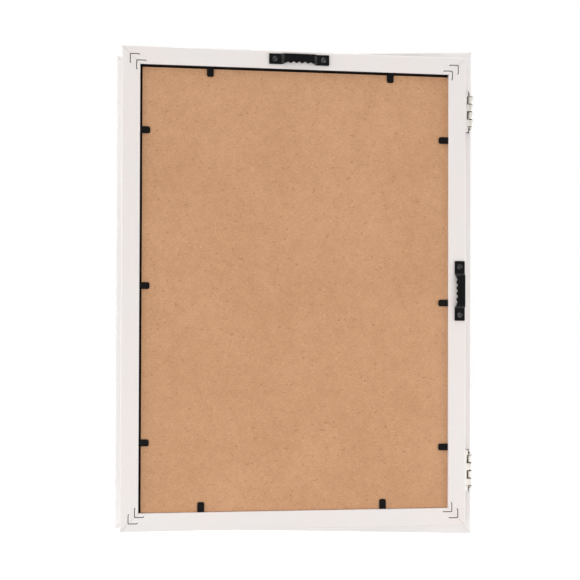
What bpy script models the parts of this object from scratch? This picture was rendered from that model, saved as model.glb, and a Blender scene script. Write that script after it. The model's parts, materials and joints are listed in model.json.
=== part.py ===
"""Hinged photo frame: a wall-hung box with a larger glazed front frame hinged to one of its sides.

The box is a mitred frame that holds a photo sheet, a black card and a fibreboard panel in a rebate
cut from the back. Flexible points hold the panel. Two sawtooth hangers let it hang either way up.
The front frame, called the door, swings on two butt hinges and is drawn a little ajar.

Lengths are in metres and angles in degrees. X runs along the width with the hinges at -X, Y runs
towards the wall and Z runs up. The origin is the point where the wall's nail carries the top hanger,
on the plane of the box's back.
"""

import math

import bmesh
import bpy
from mathutils import Matrix, Vector

# Clearances
SEAT_GAP = 0.0003
CUT_OVERRUN = 0.0020
MITRE_GAP = 0.0003
WELD_DISTANCE = 0.00001

# Sheets in the box
SHEET_WIDTH = 0.2970
SHEET_HEIGHT = 0.4200
SHEET_THICKNESS = 0.0004
CARD_THICKNESS = 0.0012
REBATE_CLEARANCE = 0.0005
PANEL_THICKNESS = 0.0030
PANEL_RECESS = 0.0030
PANEL_SLACK = 0.0020
PANEL_SHIFT_SHARE = 0.35

# Box moulding
BOX_RAIL_WIDTH = 0.0170
BOX_DEPTH = 0.0200
BOX_LEDGE = 0.0050
BOX_BACK_EDGE_RADIUS = 0.0012
BOX_REBATE_EDGE_RADIUS = 0.0004
BOX_FRONT_EDGE_RADIUS = 0.0008

# Door moulding
DOOR_MARGIN = 0.0125
DOOR_DEPTH = 0.0160
DOOR_LIP_WIDTH = 0.0065
DOOR_LIP_DEPTH = 0.0080
DOOR_BACK_EDGE_RADIUS = 0.0010
DOOR_FRONT_EDGE_RADIUS = 0.0020
DOOR_SIGHT_EDGE_RADIUS = 0.0015
DOOR_SEAM = 0.0006
DOOR_REST_ANGLE = 9.0
GLAZING_THICKNESS = 0.0020

# Flexible points: places are clockwise from each side's middle, as shares of the rebate's length there
POINT_WIDTH = 0.0065
POINT_THICKNESS = 0.0005
POINT_BURIED = 0.0060
POINT_EXPOSED = 0.0095
POINT_PANEL_GAP = 0.0003
POINT_ROUND_SHARE = 0.95
POINT_PLACE_SHARES = {
    "top": (-0.306, 0.279),
    "free": (-0.354, -0.006, 0.344),
    "bottom": (-0.304, 0.283),
    "hinge": (-0.360, -0.028, 0.348),
}
DOOR_POINT_EXPOSED = 0.0070

# V-nails, measured along each side from the frame's outer corner to the nail's vertex
V_NAIL_THICKNESS = 0.0006
V_NAIL_DEPTH = 0.0070
V_NAIL_LEG = 0.0088
V_NAIL_CURL_RADIUS = 0.0008
V_NAIL_SUNK = 0.0001
V_NAIL_INSETS = {"outer": 0.0077, "inner": 0.0136}
DOOR_V_NAIL_INSET = 0.0185

# Sawtooth hangers
HANGER_LENGTH = 0.0580
HANGER_WIDTH = 0.0100
HANGER_THICKNESS = 0.0008
HANGER_FOOT = 0.0120
HANGER_RAMP = 0.0030
HANGER_RISE = 0.0016
HANGER_CORNER_RADIUS = 0.0008
HANGER_NAIL_INSET = 0.0055
TOOTH_PITCH = 0.0054
TOOTH_INSET = 0.0011
TOOTH_TAPER = 0.0025
TOOTH_DEPTH = 0.0017
TOOTH_TIP = 0.0005
NOTCH_COUNT = 5
END_NOTCH_SHARE = 0.65
TOP_HANGER_OFFSET = -0.0015
TOP_HANGER_INSET = 0.0080
SIDE_HANGER_OFFSET = 0.0
SIDE_HANGER_INSET = 0.0062

# Hanger nails
NAIL_HEAD_RADIUS = 0.0025
NAIL_HEAD_HEIGHT = 0.0009
NAIL_SHANK_RADIUS = 0.0008
NAIL_LENGTH = 0.0080

# Hinges, placed by their middles' distances from the box's top and bottom edges
UPPER_HINGE_INSET = 0.0480
LOWER_HINGE_INSET = 0.0503
HINGE_AXIS_INSET = 0.0008
LEAF_LENGTH = 0.0410
LEAF_WIDTH = 0.0250
LEAF_THICKNESS = 0.0010
LEAF_CORNER_RADIUS = 0.0030
LEAF_KNUCKLE_GAP = 0.0004
BARREL_RADIUS = 0.0027
BARREL_LENGTH = 0.0304
BARREL_NOTCH_CLEARANCE = 0.0005
KNUCKLE_COUNT = 4
PIN_RADIUS = 0.0012
PIN_HEAD_RADIUS = 0.0024
PIN_HEAD_HEIGHT = 0.0018

# Hinge screws
SCREW_PLACE = 0.0190
SCREW_SPACING = 0.0240
SCREW_HEAD_RADIUS = 0.0026
SCREW_HEAD_HEIGHT = 0.0010
SCREW_SHANK_RADIUS = 0.0013
SCREW_LENGTH = 0.0090
SCREW_SUNK = 0.0001

# Magnet in the box and steel plate in the door
MAGNET_RADIUS = 0.0050
MAGNET_HEIGHT = 0.0025
STRIKER_HEIGHT = 0.0012
CATCH_SUNK = 0.0001

# Facets
ARC_STEPS = 3
TURNED_STEPS = 20
BARREL_STEPS = 20
ROUND_END_STEPS = 8
SMOOTH_ANGLE = 40.0

# Derived sizes of the box
REBATE_WIDTH = SHEET_WIDTH + 2 * REBATE_CLEARANCE
REBATE_HEIGHT = SHEET_HEIGHT + 2 * REBATE_CLEARANCE
BOX_WIDTH = REBATE_WIDTH + 2 * BOX_RAIL_WIDTH
BOX_HEIGHT = REBATE_HEIGHT + 2 * BOX_RAIL_WIDTH
PANEL_BACK = -PANEL_RECESS
PANEL_FRONT = PANEL_BACK - PANEL_THICKNESS
CARD_BACK = PANEL_FRONT - SEAT_GAP
CARD_FRONT = CARD_BACK - CARD_THICKNESS
SHEET_BACK = CARD_FRONT - SEAT_GAP
SHEET_FRONT = SHEET_BACK - SHEET_THICKNESS
BOX_REBATE_DEPTH = SEAT_GAP - SHEET_FRONT
POINT_BACK = PANEL_BACK + POINT_PANEL_GAP + POINT_THICKNESS

# Derived sizes of the door
DOOR_WIDTH = BOX_WIDTH + 2 * DOOR_MARGIN
DOOR_HEIGHT = BOX_HEIGHT + 2 * DOOR_MARGIN
DOOR_BACK = -BOX_DEPTH - DOOR_SEAM
DOOR_FRONT = DOOR_BACK - DOOR_DEPTH
DOOR_LIP_BACK = DOOR_FRONT + DOOR_LIP_DEPTH
DOOR_RAIL_WIDTH = (DOOR_WIDTH - REBATE_WIDTH) / 2
GLAZING_FRONT = DOOR_LIP_BACK + SEAT_GAP
GLAZING_BACK = GLAZING_FRONT + GLAZING_THICKNESS
DOOR_POINT_BACK = GLAZING_BACK + POINT_PANEL_GAP + POINT_THICKNESS

# Derived places of the hinges and of the origin
AXIS_X = HINGE_AXIS_INSET - DOOR_WIDTH / 2
AXIS_Y = -BOX_DEPTH - DOOR_SEAM / 2
HINGE_HEIGHTS = {"upper": BOX_HEIGHT / 2 - UPPER_HINGE_INSET, "lower": LOWER_HINGE_INSET - BOX_HEIGHT / 2}
LEAF_START = BARREL_RADIUS + LEAF_KNUCKLE_GAP
KNUCKLE_PITCH = BARREL_LENGTH / KNUCKLE_COUNT
KNUCKLE_LENGTH = KNUCKLE_PITCH - SEAT_GAP
BORE_RADIUS = PIN_RADIUS + SEAT_GAP
NOTCH_TOP = BOX_HEIGHT / 2 - TOP_HANGER_INSET - HANGER_WIDTH / 2 + TOOTH_INSET + TOOTH_DEPTH
BOX_CENTRE = Vector((-TOP_HANGER_OFFSET, 0.0, -NOTCH_TOP))

FLAT = Matrix.Rotation(math.pi / 2, 4, "X")
SIDES = ("top", "free", "bottom", "hinge")
CORNERS = {"top_free": 0, "bottom_free": 1, "bottom_hinge": 2, "top_hinge": 3}

FINISHES = {
    "white_lacquer": ((0.80, 0.79, 0.78, 1.0), 0.45, 0.0),
    "fibreboard": ((0.62, 0.37, 0.20, 1.0), 0.85, 0.0),
    "black_card": ((0.010, 0.010, 0.010, 1.0), 0.90, 0.0),
    "photo_paper": ((0.86, 0.86, 0.85, 1.0), 0.50, 0.0),
    "clear_sheet": ((0.90, 0.95, 0.94, 0.25), 0.05, 0.0),
    "black_spring_steel": ((0.015, 0.015, 0.016, 1.0), 0.40, 0.9),
    "dark_steel": ((0.09, 0.08, 0.08, 1.0), 0.45, 0.9),
    "nickel": ((0.66, 0.58, 0.51, 1.0), 0.30, 1.0),
    "magnet": ((0.45, 0.45, 0.46, 1.0), 0.30, 1.0),
}


def clear_scene():
    """Remove every object of the start-up scene."""
    for item in list(bpy.data.objects):
        bpy.data.objects.remove(item, do_unlink=True)


def make_collection(name):
    """Make a collection in the scene."""
    collection = bpy.data.collections.new(name)
    bpy.context.scene.collection.children.link(collection)
    return collection


def make_material(name):
    """Make the Principled material of one finish."""
    colour, roughness, metallic = FINISHES[name]
    material = bpy.data.materials.new(name)
    material.use_nodes = True
    shader = material.node_tree.nodes["Principled BSDF"]
    shader.inputs["Base Color"].default_value = colour
    shader.inputs["Roughness"].default_value = roughness
    shader.inputs["Metallic"].default_value = metallic
    shader.inputs["Alpha"].default_value = colour[3]
    return material


class Shop:
    """The collections and materials that every piece is made with."""

    def __init__(self):
        self.pieces = make_collection("hinged_photo_frame")
        self.cutters = make_collection("cutters")
        self.materials = {name: make_material(name) for name in FINISHES}

    def empty(self, name, parent=None, location=(0.0, 0.0, 0.0)):
        """Add an empty that carries pieces."""
        item = bpy.data.objects.new(name, None)
        item.location = location
        item.parent = parent
        self.pieces.objects.link(item)
        return item

    def piece(self, name, mesh, finish, parent, location=(0.0, 0.0, 0.0), rotation=(0.0, 0.0, 0.0)):
        """Add a visible piece."""
        item = bpy.data.objects.new(name, mesh)
        item.location = location
        item.rotation_euler = rotation
        item.parent = parent
        mesh.materials.append(self.materials[finish])
        self.pieces.objects.link(item)
        return item

    def cutter(self, name, mesh, parent, location=(0.0, 0.0, 0.0), rotation=(0.0, 0.0, 0.0)):
        """Add a hidden operand for a Boolean."""
        item = bpy.data.objects.new(name, mesh)
        item.location = location
        item.rotation_euler = rotation
        item.parent = parent
        item.display_type = "WIRE"
        item.hide_render = True
        self.cutters.objects.link(item)
        return item


def shade(mesh):
    """Shade a mesh smooth and keep its sharp edges."""
    mesh.shade_smooth()
    mesh.set_sharp_from_angle(angle=math.radians(SMOOTH_ANGLE))
    return mesh


def finish_bmesh(name, bm):
    """Turn a bmesh into a shaded mesh with its faces out."""
    bmesh.ops.recalc_face_normals(bm, faces=bm.faces)
    mesh = bpy.data.meshes.new(name)
    bm.to_mesh(mesh)
    bm.free()
    return shade(mesh)


def block(name, size, centre=(0.0, 0.0, 0.0)):
    """Return a box mesh of a size around a centre."""
    bm = bmesh.new()
    bmesh.ops.create_cube(bm, size=1.0, matrix=Matrix.Translation(centre) @ Matrix.Diagonal((*size, 1.0)))
    return finish_bmesh(name, bm)


def disc(name, radius, height, centre_y):
    """Return a cylinder mesh along Y."""
    bm = bmesh.new()
    turn = Matrix.Translation((0.0, centre_y, 0.0)) @ Matrix.Rotation(math.pi / 2, 4, "X")
    bmesh.ops.create_cone(bm, cap_ends=True, segments=TURNED_STEPS, radius1=radius, radius2=radius,
                          depth=height, matrix=turn)
    return finish_bmesh(name, bm)


def column(name, radius, height):
    """Return a cylinder mesh along Z."""
    bm = bmesh.new()
    bmesh.ops.create_cone(bm, cap_ends=True, segments=BARREL_STEPS, radius1=radius, radius2=radius,
                          depth=height)
    return finish_bmesh(name, bm)


def rounded_outline(corners, steps=ARC_STEPS):
    """Round the corners of an outline given as (x, y, radius)."""
    points = []
    count = len(corners)
    for index, (x, y, radius) in enumerate(corners):
        here = Vector((x, y))
        if radius <= 0.0:
            points.append(here)
            continue
        before = (Vector(corners[index - 1][:2]) - here).normalized()
        after = (Vector(corners[(index + 1) % count][:2]) - here).normalized()
        half = before.angle(after) / 2
        centre = here + (before + after).normalized() * (radius / math.sin(half))
        start = here + before * (radius / math.tan(half)) - centre
        turn = start.angle_signed(here + after * (radius / math.tan(half)) - centre)
        for step in range(steps + 1):
            angle = -turn * step / steps
            spun = Vector((start.x * math.cos(angle) - start.y * math.sin(angle),
                           start.x * math.sin(angle) + start.y * math.cos(angle)))
            points.append(centre + spun)
    return points


def extruded(name, outline, thickness, matrix=None):
    """Extrude a flat outline both ways from its plane by half a thickness."""
    curve = bpy.data.curves.new(name, "CURVE")
    curve.dimensions = "2D"
    curve.fill_mode = "BOTH"
    curve.extrude = thickness / 2
    spline = curve.splines.new("POLY")
    spline.points.add(len(outline) - 1)
    for point, (x, y) in zip(spline.points, outline):
        point.co = (x, y, 0.0, 1.0)
    spline.use_cyclic_u = True
    item = bpy.data.objects.new(name, curve)
    bpy.context.scene.collection.objects.link(item)
    bpy.context.view_layer.update()
    mesh = bpy.data.meshes.new_from_object(item.evaluated_get(bpy.context.evaluated_depsgraph_get()))
    bpy.data.objects.remove(item, do_unlink=True)
    bpy.data.curves.remove(curve)
    bm = bmesh.new()
    bm.from_mesh(mesh)
    bpy.data.meshes.remove(mesh)
    bmesh.ops.remove_doubles(bm, verts=bm.verts, dist=WELD_DISTANCE)
    if matrix is not None:
        bm.transform(matrix)
    return finish_bmesh(name, bm)


def turned(name, profile):
    """Return a mesh that turns a profile, given as (radius, height) from top to bottom, about Z."""
    mesh = bpy.data.meshes.new(name)
    bm = bmesh.new()
    verts = [bm.verts.new((radius, 0.0, height)) for radius, height in profile]
    for first, second in zip(verts, verts[1:]):
        bm.edges.new((first, second))
    bm.to_mesh(mesh)
    bm.free()
    return mesh


def add_screw(item):
    """Turn an object's profile right round its Z axis."""
    modifier = item.modifiers.new("turn", "SCREW")
    modifier.axis = "Z"
    modifier.angle = 2 * math.pi
    modifier.steps = TURNED_STEPS
    modifier.render_steps = TURNED_STEPS
    modifier.use_merge_vertices = True
    modifier.merge_threshold = WELD_DISTANCE
    modifier.use_smooth_shade = True
    return item


def combine(item, operands, operation):
    """Cut operands from an object, or join them to it."""
    for operand in operands:
        modifier = item.modifiers.new(f"{operation.lower()}_{operand.name}", "BOOLEAN")
        modifier.operation = operation
        modifier.solver = "EXACT"
        modifier.object = operand
    return item


def dome(radius, height, base, steps=ARC_STEPS):
    """Return the profile of a round head from its crown down to its rim."""
    sphere = (radius * radius + height * height) / (2 * height)
    spread = math.asin(radius / sphere)
    crown = []
    for step in range(steps + 1):
        angle = spread * step / steps
        crown.append((sphere * math.sin(angle), base + height - sphere * (1 - math.cos(angle))))
    return crown


def quarter_turn(side):
    """Return the rotation about Y that brings the top side to a side."""
    return (0.0, SIDES.index(side) * math.pi / 2, 0.0)


def side_place(side, along, inset, depth, width, height):
    """Return a point on a side: along it clockwise from its middle, in from its outer edge, at a depth."""
    across = height if side in ("top", "bottom") else width
    local = Vector((along, depth, across / 2 - inset))
    return Matrix.Rotation(SIDES.index(side) * math.pi / 2, 3, "Y") @ local


def corner_signs(corner):
    """Return the signs of X and Z at a corner."""
    return (1 if "free" in corner else -1), (1 if "top" in corner else -1)


# The box's and the door's mouldings

def box_section():
    """Return the box's moulding: inwards from the outer edge, and depth."""
    ledge = BOX_RAIL_WIDTH + BOX_LEDGE
    return rounded_outline([
        (0.0, 0.0, BOX_BACK_EDGE_RADIUS),
        (BOX_RAIL_WIDTH, 0.0, BOX_REBATE_EDGE_RADIUS),
        (BOX_RAIL_WIDTH, -BOX_REBATE_DEPTH, 0.0),
        (ledge, -BOX_REBATE_DEPTH, 0.0),
        (ledge, -BOX_DEPTH, BOX_FRONT_EDGE_RADIUS),
        (0.0, -BOX_DEPTH, BOX_FRONT_EDGE_RADIUS),
    ])


def door_section():
    """Return the door's moulding: inwards from the outer edge, and depth."""
    sight = DOOR_RAIL_WIDTH + DOOR_LIP_WIDTH
    return rounded_outline([
        (0.0, DOOR_BACK, DOOR_BACK_EDGE_RADIUS),
        (DOOR_RAIL_WIDTH, DOOR_BACK, 0.0),
        (DOOR_RAIL_WIDTH, DOOR_LIP_BACK, 0.0),
        (sight, DOOR_LIP_BACK, 0.0),
        (sight, DOOR_FRONT, DOOR_SIGHT_EDGE_RADIUS),
        (0.0, DOOR_FRONT, DOOR_FRONT_EDGE_RADIUS),
    ])


def mitred_rail(name, section, length, across):
    """Return one rail as the top side of a frame, cut to a mitre at both ends."""
    turn = Matrix.Translation((0.0, 0.0, across / 2)) @ Matrix.Rotation(math.pi / 2, 4, "Y")
    mesh = extruded(name, section, length, turn)
    bm = bmesh.new()
    bm.from_mesh(mesh)
    bpy.data.meshes.remove(mesh)
    for sign in (1, -1):
        normal = Vector((sign, 0.0, -1.0)).normalized()
        corner = Vector((sign * length / 2, 0.0, across / 2)) - normal * (MITRE_GAP / 2)
        bmesh.ops.bisect_plane(bm, geom=bm.verts[:] + bm.edges[:] + bm.faces[:], dist=WELD_DISTANCE,
                               plane_co=corner, plane_no=normal, clear_outer=True)
        bmesh.ops.holes_fill(bm, edges=[edge for edge in bm.edges if edge.is_boundary])
    return finish_bmesh(name, bm)


def make_rails(shop, prefix, section, width, height, parent):
    """Make the four rails of a frame, named by their sides."""
    rails = {}
    for side in SIDES:
        level = side in ("top", "bottom")
        length, across = (width, height) if level else (height, width)
        name = f"{prefix}_rail_{side}"
        mesh = mitred_rail(name, section, length, across)
        rails[side] = shop.piece(name, mesh, "white_lacquer", parent, rotation=quarter_turn(side))
    return rails


# V-nails across the mitres

def v_nail_path(extension):
    """Return a V with its vertex at the origin, its legs along -X and -Z and a curl at each tip."""
    bend = V_NAIL_CURL_RADIUS - V_NAIL_LEG
    leg = [(0.0, 0.0)]
    for step in range(ARC_STEPS + 1):
        angle = math.pi / 2 * step / ARC_STEPS
        leg.append((bend - V_NAIL_CURL_RADIUS * math.sin(angle),
                    V_NAIL_CURL_RADIUS * (math.cos(angle) - 1)))
    if extension > 0.0:
        leg.append((-V_NAIL_LEG, -V_NAIL_CURL_RADIUS - extension))
    return leg[:0:-1] + [(z, x) for x, z in leg]


def ribbon(name, path, lift, direction):
    """Return an open ribbon: a path in the plane of X and Z, or of X and Y, swept along a direction."""
    bm = bmesh.new()
    verts = [bm.verts.new(lift @ Vector((a, b, 0.0))) for a, b in path]
    edges = [bm.edges.new(pair) for pair in zip(verts, verts[1:])]
    made = bmesh.ops.extrude_edge_only(bm, edges=edges)
    swept = [item for item in made["geom"] if isinstance(item, bmesh.types.BMVert)]
    bmesh.ops.translate(bm, verts=swept, vec=direction)
    mesh = bpy.data.meshes.new(name)
    bm.to_mesh(mesh)
    bm.free()
    return mesh


def thicken(item, thickness):
    """Give an open ribbon its thickness, half on each side."""
    modifier = item.modifiers.new("thickness", "SOLIDIFY")
    modifier.thickness = thickness
    modifier.offset = 0.0
    modifier.use_even_offset = True
    return item


def make_v_nails(shop, prefix, rails, nails, width, height, back, parent):
    """Drive V-nails across the mitres of a frame, and cut their slots."""
    for corner, turns in CORNERS.items():
        sign_x, sign_z = corner_signs(corner)
        turn = (0.0, turns * math.pi / 2, 0.0)
        neighbours = [rails[side] for side in corner.split("_")]
        for label, inset in nails.items():
            name = f"{prefix}_{corner}{label}"
            place = (sign_x * (width / 2 - inset), back, sign_z * (height / 2 - inset))
            top = Matrix.Translation((0.0, -V_NAIL_SUNK, 0.0)) @ FLAT
            body = ribbon(name, v_nail_path(0.0), top, (0.0, -V_NAIL_DEPTH, 0.0))
            thicken(shop.piece(name, body, "dark_steel", parent, place, turn), V_NAIL_THICKNESS)
            above = Matrix.Translation((0.0, CUT_OVERRUN, 0.0)) @ FLAT
            reach = CUT_OVERRUN + V_NAIL_SUNK + V_NAIL_DEPTH + SEAT_GAP
            slot = ribbon(f"{name}_slot", v_nail_path(SEAT_GAP), above, (0.0, -reach, 0.0))
            cutter = shop.cutter(f"{name}_slot", slot, parent, place, turn)
            thicken(cutter, V_NAIL_THICKNESS + 2 * SEAT_GAP)
            for rail in neighbours:
                combine(rail, [cutter], "DIFFERENCE")


# Flexible points that hold a sheet against its rebate

def point_mesh(name, exposed):
    """Return a flat point with a round end, its root buried beyond the rebate's wall."""
    half = POINT_WIDTH / 2
    round_end = half * POINT_ROUND_SHARE
    outline = rounded_outline([
        (-half, POINT_BURIED, 0.0),
        (-half, -exposed, round_end),
        (half, -exposed, round_end),
        (half, POINT_BURIED, 0.0),
    ], ROUND_END_STEPS)
    return extruded(name, outline, POINT_THICKNESS, FLAT)


def make_point(shop, name, rail, side, along, exposed, inset, back, size, parent):
    """Press one point into a rail, and cut its slot."""
    depth = back - POINT_THICKNESS / 2
    place = side_place(side, along, inset, depth, *size)
    turn = quarter_turn(side)
    shop.piece(name, point_mesh(name, exposed), "black_spring_steel", parent, place, turn)
    slot_size = (POINT_WIDTH + 2 * SEAT_GAP, POINT_THICKNESS + 2 * SEAT_GAP,
                 POINT_BURIED + SEAT_GAP + CUT_OVERRUN)
    slot = block(f"{name}_slot", slot_size, (0.0, 0.0, (POINT_BURIED + SEAT_GAP - CUT_OVERRUN) / 2))
    combine(rail, [shop.cutter(f"{name}_slot", slot, parent, place, turn)], "DIFFERENCE")


def make_box_points(shop, rails, parent):
    """Hold the panel with points on all four sides."""
    size = (BOX_WIDTH, BOX_HEIGHT)
    for side, shares in POINT_PLACE_SHARES.items():
        run = REBATE_WIDTH if side in ("top", "bottom") else REBATE_HEIGHT
        for number, share in enumerate(shares, 1):
            name = f"flexible_point_{side}_{number}"
            make_point(shop, name, rails[side], side, share * run, POINT_EXPOSED,
                       BOX_RAIL_WIDTH, POINT_BACK, size, parent)


def make_door_points(shop, rails, parent):
    """Hold the clear sheet with one point in the middle of each side."""
    size = (DOOR_WIDTH, DOOR_HEIGHT)
    for side in SIDES:
        make_point(shop, f"glazing_point_{side}", rails[side], side, 0.0, DOOR_POINT_EXPOSED,
                   DOOR_RAIL_WIDTH, DOOR_POINT_BACK, size, parent)


# Sawtooth hangers and their nails

def hanger_outline():
    """Return a hanger's outline: a strip that tapers to a row of notches, shallower at both ends."""
    end = HANGER_LENGTH / 2
    edge = HANGER_WIDTH / 2
    tip = TOOTH_INSET - edge
    half = (TOOTH_PITCH - TOOTH_TIP) / 2
    taper = (NOTCH_COUNT - 1) / 2 * TOOTH_PITCH + half + TOOTH_TAPER
    corners = [(end, edge, HANGER_CORNER_RADIUS), (-end, edge, HANGER_CORNER_RADIUS),
               (-end, -edge, HANGER_CORNER_RADIUS), (-taper, -edge, 0.0)]
    for index in range(NOTCH_COUNT):
        middle = (index - (NOTCH_COUNT - 1) / 2) * TOOTH_PITCH
        depth = TOOTH_DEPTH * (END_NOTCH_SHARE if index in (0, NOTCH_COUNT - 1) else 1.0)
        corners += [(middle - half, tip, 0.0), (middle, tip + depth, 0.0), (middle + half, tip, 0.0)]
    corners += [(taper, -edge, 0.0), (end, -edge, HANGER_CORNER_RADIUS)]
    return rounded_outline(corners)


def hanger_path():
    """Return the bent strip's middle line: along the hanger, and out from the frame's back."""
    low = SEAT_GAP + HANGER_THICKNESS / 2
    high = low + HANGER_RISE
    foot = HANGER_LENGTH / 2 - HANGER_FOOT
    half = [(HANGER_LENGTH / 2 + CUT_OVERRUN, low), (foot, low), (foot - HANGER_RAMP, high)]
    return half + [(-x, y) for x, y in reversed(half)]


def nail_profile():
    """Return a nail's profile, with the underside of its head at height zero."""
    return dome(NAIL_HEAD_RADIUS, NAIL_HEAD_HEIGHT, 0.0) + [
        (NAIL_SHANK_RADIUS, 0.0),
        (NAIL_SHANK_RADIUS, NAIL_SHANK_RADIUS - NAIL_LENGTH),
        (0.0, -NAIL_LENGTH),
    ]


def make_hanger(shop, name, rail, side, along, inset, parent):
    """Nail a sawtooth hanger to the back of a rail."""
    size = (BOX_WIDTH, BOX_HEIGHT)
    turn = quarter_turn(side)
    place = side_place(side, along, inset, 0.0, *size)
    sweep = HANGER_WIDTH + 2 * CUT_OVERRUN
    lift = Matrix.Translation((0.0, 0.0, -sweep / 2))
    strip = ribbon(name, hanger_path(), lift, (0.0, 0.0, sweep))
    hanger = thicken(shop.piece(name, strip, "dark_steel", parent, place, turn), HANGER_THICKNESS)
    tall = 2 * (HANGER_RISE + HANGER_THICKNESS + SEAT_GAP + CUT_OVERRUN)
    shape = extruded(f"{name}_outline", hanger_outline(), tall, FLAT)
    combine(hanger, [shop.cutter(f"{name}_outline", shape, parent, place, turn)], "INTERSECT")
    seat = 2 * SEAT_GAP + HANGER_THICKNESS
    for number, sign in enumerate((-1, 1), 1):
        nail_along = along + sign * (HANGER_LENGTH / 2 - HANGER_NAIL_INSET)
        nail_place = side_place(side, nail_along, inset, seat, *size)
        nail_name = f"{name}_nail_{number}"
        profile = turned(nail_name, nail_profile())
        add_screw(shop.piece(nail_name, profile, "dark_steel", parent, nail_place, (-math.pi / 2, 0.0, 0.0)))
        reach = NAIL_LENGTH + SEAT_GAP
        hole = disc(f"{nail_name}_hole", NAIL_SHANK_RADIUS + SEAT_GAP, reach + CUT_OVERRUN,
                    (CUT_OVERRUN - reach) / 2)
        cutter = shop.cutter(f"{nail_name}_hole", hole, parent, nail_place)
        combine(hanger, [cutter], "DIFFERENCE")
        combine(rail, [cutter], "DIFFERENCE")


# Hinges, each with a leaf on the box, a leaf on the door and a pin

def rolled_plate_outline(facing):
    """Return a plate rolled round the pin's axis; facing is 1 on the box and -1 on the door."""
    near = DOOR_SEAM / 2
    far = near + LEAF_THICKNESS
    start = math.asin(near / BARREL_RADIUS)
    sweep = math.asin(far / BARREL_RADIUS) - 2 * math.pi - start
    end = LEAF_WIDTH + CUT_OVERRUN
    points = [(end, near)]
    for step in range(BARREL_STEPS + 1):
        angle = start + sweep * step / BARREL_STEPS
        points.append((BARREL_RADIUS * math.cos(angle), BARREL_RADIUS * math.sin(angle)))
    points.append((end, far))
    return [(x, facing * y) for x, y in points]


def leaf_outline(facing):
    """Return a leaf seen square on: the door keeps the first and third knuckles from the top."""
    half = LEAF_LENGTH / 2
    out = -BARREL_RADIUS - CUT_OVERRUN
    corners = [(LEAF_WIDTH, -half, LEAF_CORNER_RADIUS), (LEAF_WIDTH, half, LEAF_CORNER_RADIUS),
               (LEAF_START, half, 0.0)]
    for index in range(1 if facing > 0 else 0, KNUCKLE_COUNT, 2):
        middle = BARREL_LENGTH / 2 - KNUCKLE_PITCH * (index + 1 / 2)
        top, bottom = middle + KNUCKLE_LENGTH / 2, middle - KNUCKLE_LENGTH / 2
        corners += [(LEAF_START, top, 0.0), (out, top, 0.0), (out, bottom, 0.0), (LEAF_START, bottom, 0.0)]
    corners.append((LEAF_START, -half, 0.0))
    return rounded_outline(corners)


def make_leaf(shop, name, height, facing, parent):
    """Make one leaf: a plate rolled at one edge, trimmed to its outline and bored for the pin."""
    place = (AXIS_X, AXIS_Y, height)
    plate = extruded(name, rolled_plate_outline(facing), LEAF_LENGTH + 2 * CUT_OVERRUN)
    leaf = shop.piece(name, plate, "nickel", parent, place)
    tall = 2 * (BARREL_RADIUS + CUT_OVERRUN)
    trim = extruded(f"{name}_outline", leaf_outline(facing), tall, FLAT)
    combine(leaf, [shop.cutter(f"{name}_outline", trim, parent, place)], "INTERSECT")
    bore = column(f"{name}_bore", BORE_RADIUS, BARREL_LENGTH + 2 * CUT_OVERRUN)
    return combine(leaf, [shop.cutter(f"{name}_bore", bore, parent, place)], "DIFFERENCE")


def screw_profile(grow):
    """Return a countersunk screw's profile with the top of its head at height zero, grown by a clearance."""
    length = SCREW_LENGTH + grow
    shank = SCREW_SHANK_RADIUS + grow
    above = [(0.0, CUT_OVERRUN), (SCREW_HEAD_RADIUS + grow, CUT_OVERRUN)] if grow > 0.0 else [(0.0, 0.0)]
    return above + [
        (SCREW_HEAD_RADIUS + grow, 0.0),
        (shank, -SCREW_HEAD_HEIGHT),
        (shank, SCREW_SHANK_RADIUS - length),
        (0.0, -length),
    ]


def make_screws(shop, prefix, leaf, rail, height, facing, parent):
    """Drive the screws of one leaf into its rail."""
    face = AXIS_Y + facing * (DOOR_SEAM / 2 + SCREW_SUNK)
    turn = (facing * math.pi / 2, 0.0, 0.0)
    for number, sign in enumerate((1, -1), 1):
        name = f"{prefix}_screw_{number}"
        place = (AXIS_X + SCREW_PLACE, face, height + sign * SCREW_SPACING / 2)
        add_screw(shop.piece(name, turned(name, screw_profile(0.0)), "nickel", parent, place, turn))
        hole = turned(f"{name}_hole", screw_profile(SEAT_GAP))
        cutter = add_screw(shop.cutter(f"{name}_hole", hole, parent, place, turn))
        combine(leaf, [cutter], "DIFFERENCE")
        combine(rail, [cutter], "DIFFERENCE")


def cut_mortise(shop, name, rail, height, facing, parent):
    """Cut the recess that lets a leaf lie flush in its rail."""
    size = (LEAF_WIDTH - LEAF_START + 2 * SEAT_GAP, LEAF_THICKNESS + SEAT_GAP + CUT_OVERRUN,
            LEAF_LENGTH + 2 * SEAT_GAP)
    middle = facing * (DOOR_SEAM + LEAF_THICKNESS + SEAT_GAP - CUT_OVERRUN) / 2
    place = (AXIS_X + (LEAF_START + LEAF_WIDTH) / 2, AXIS_Y + middle, height)
    combine(rail, [shop.cutter(name, block(name, size), parent, place)], "DIFFERENCE")


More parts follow.
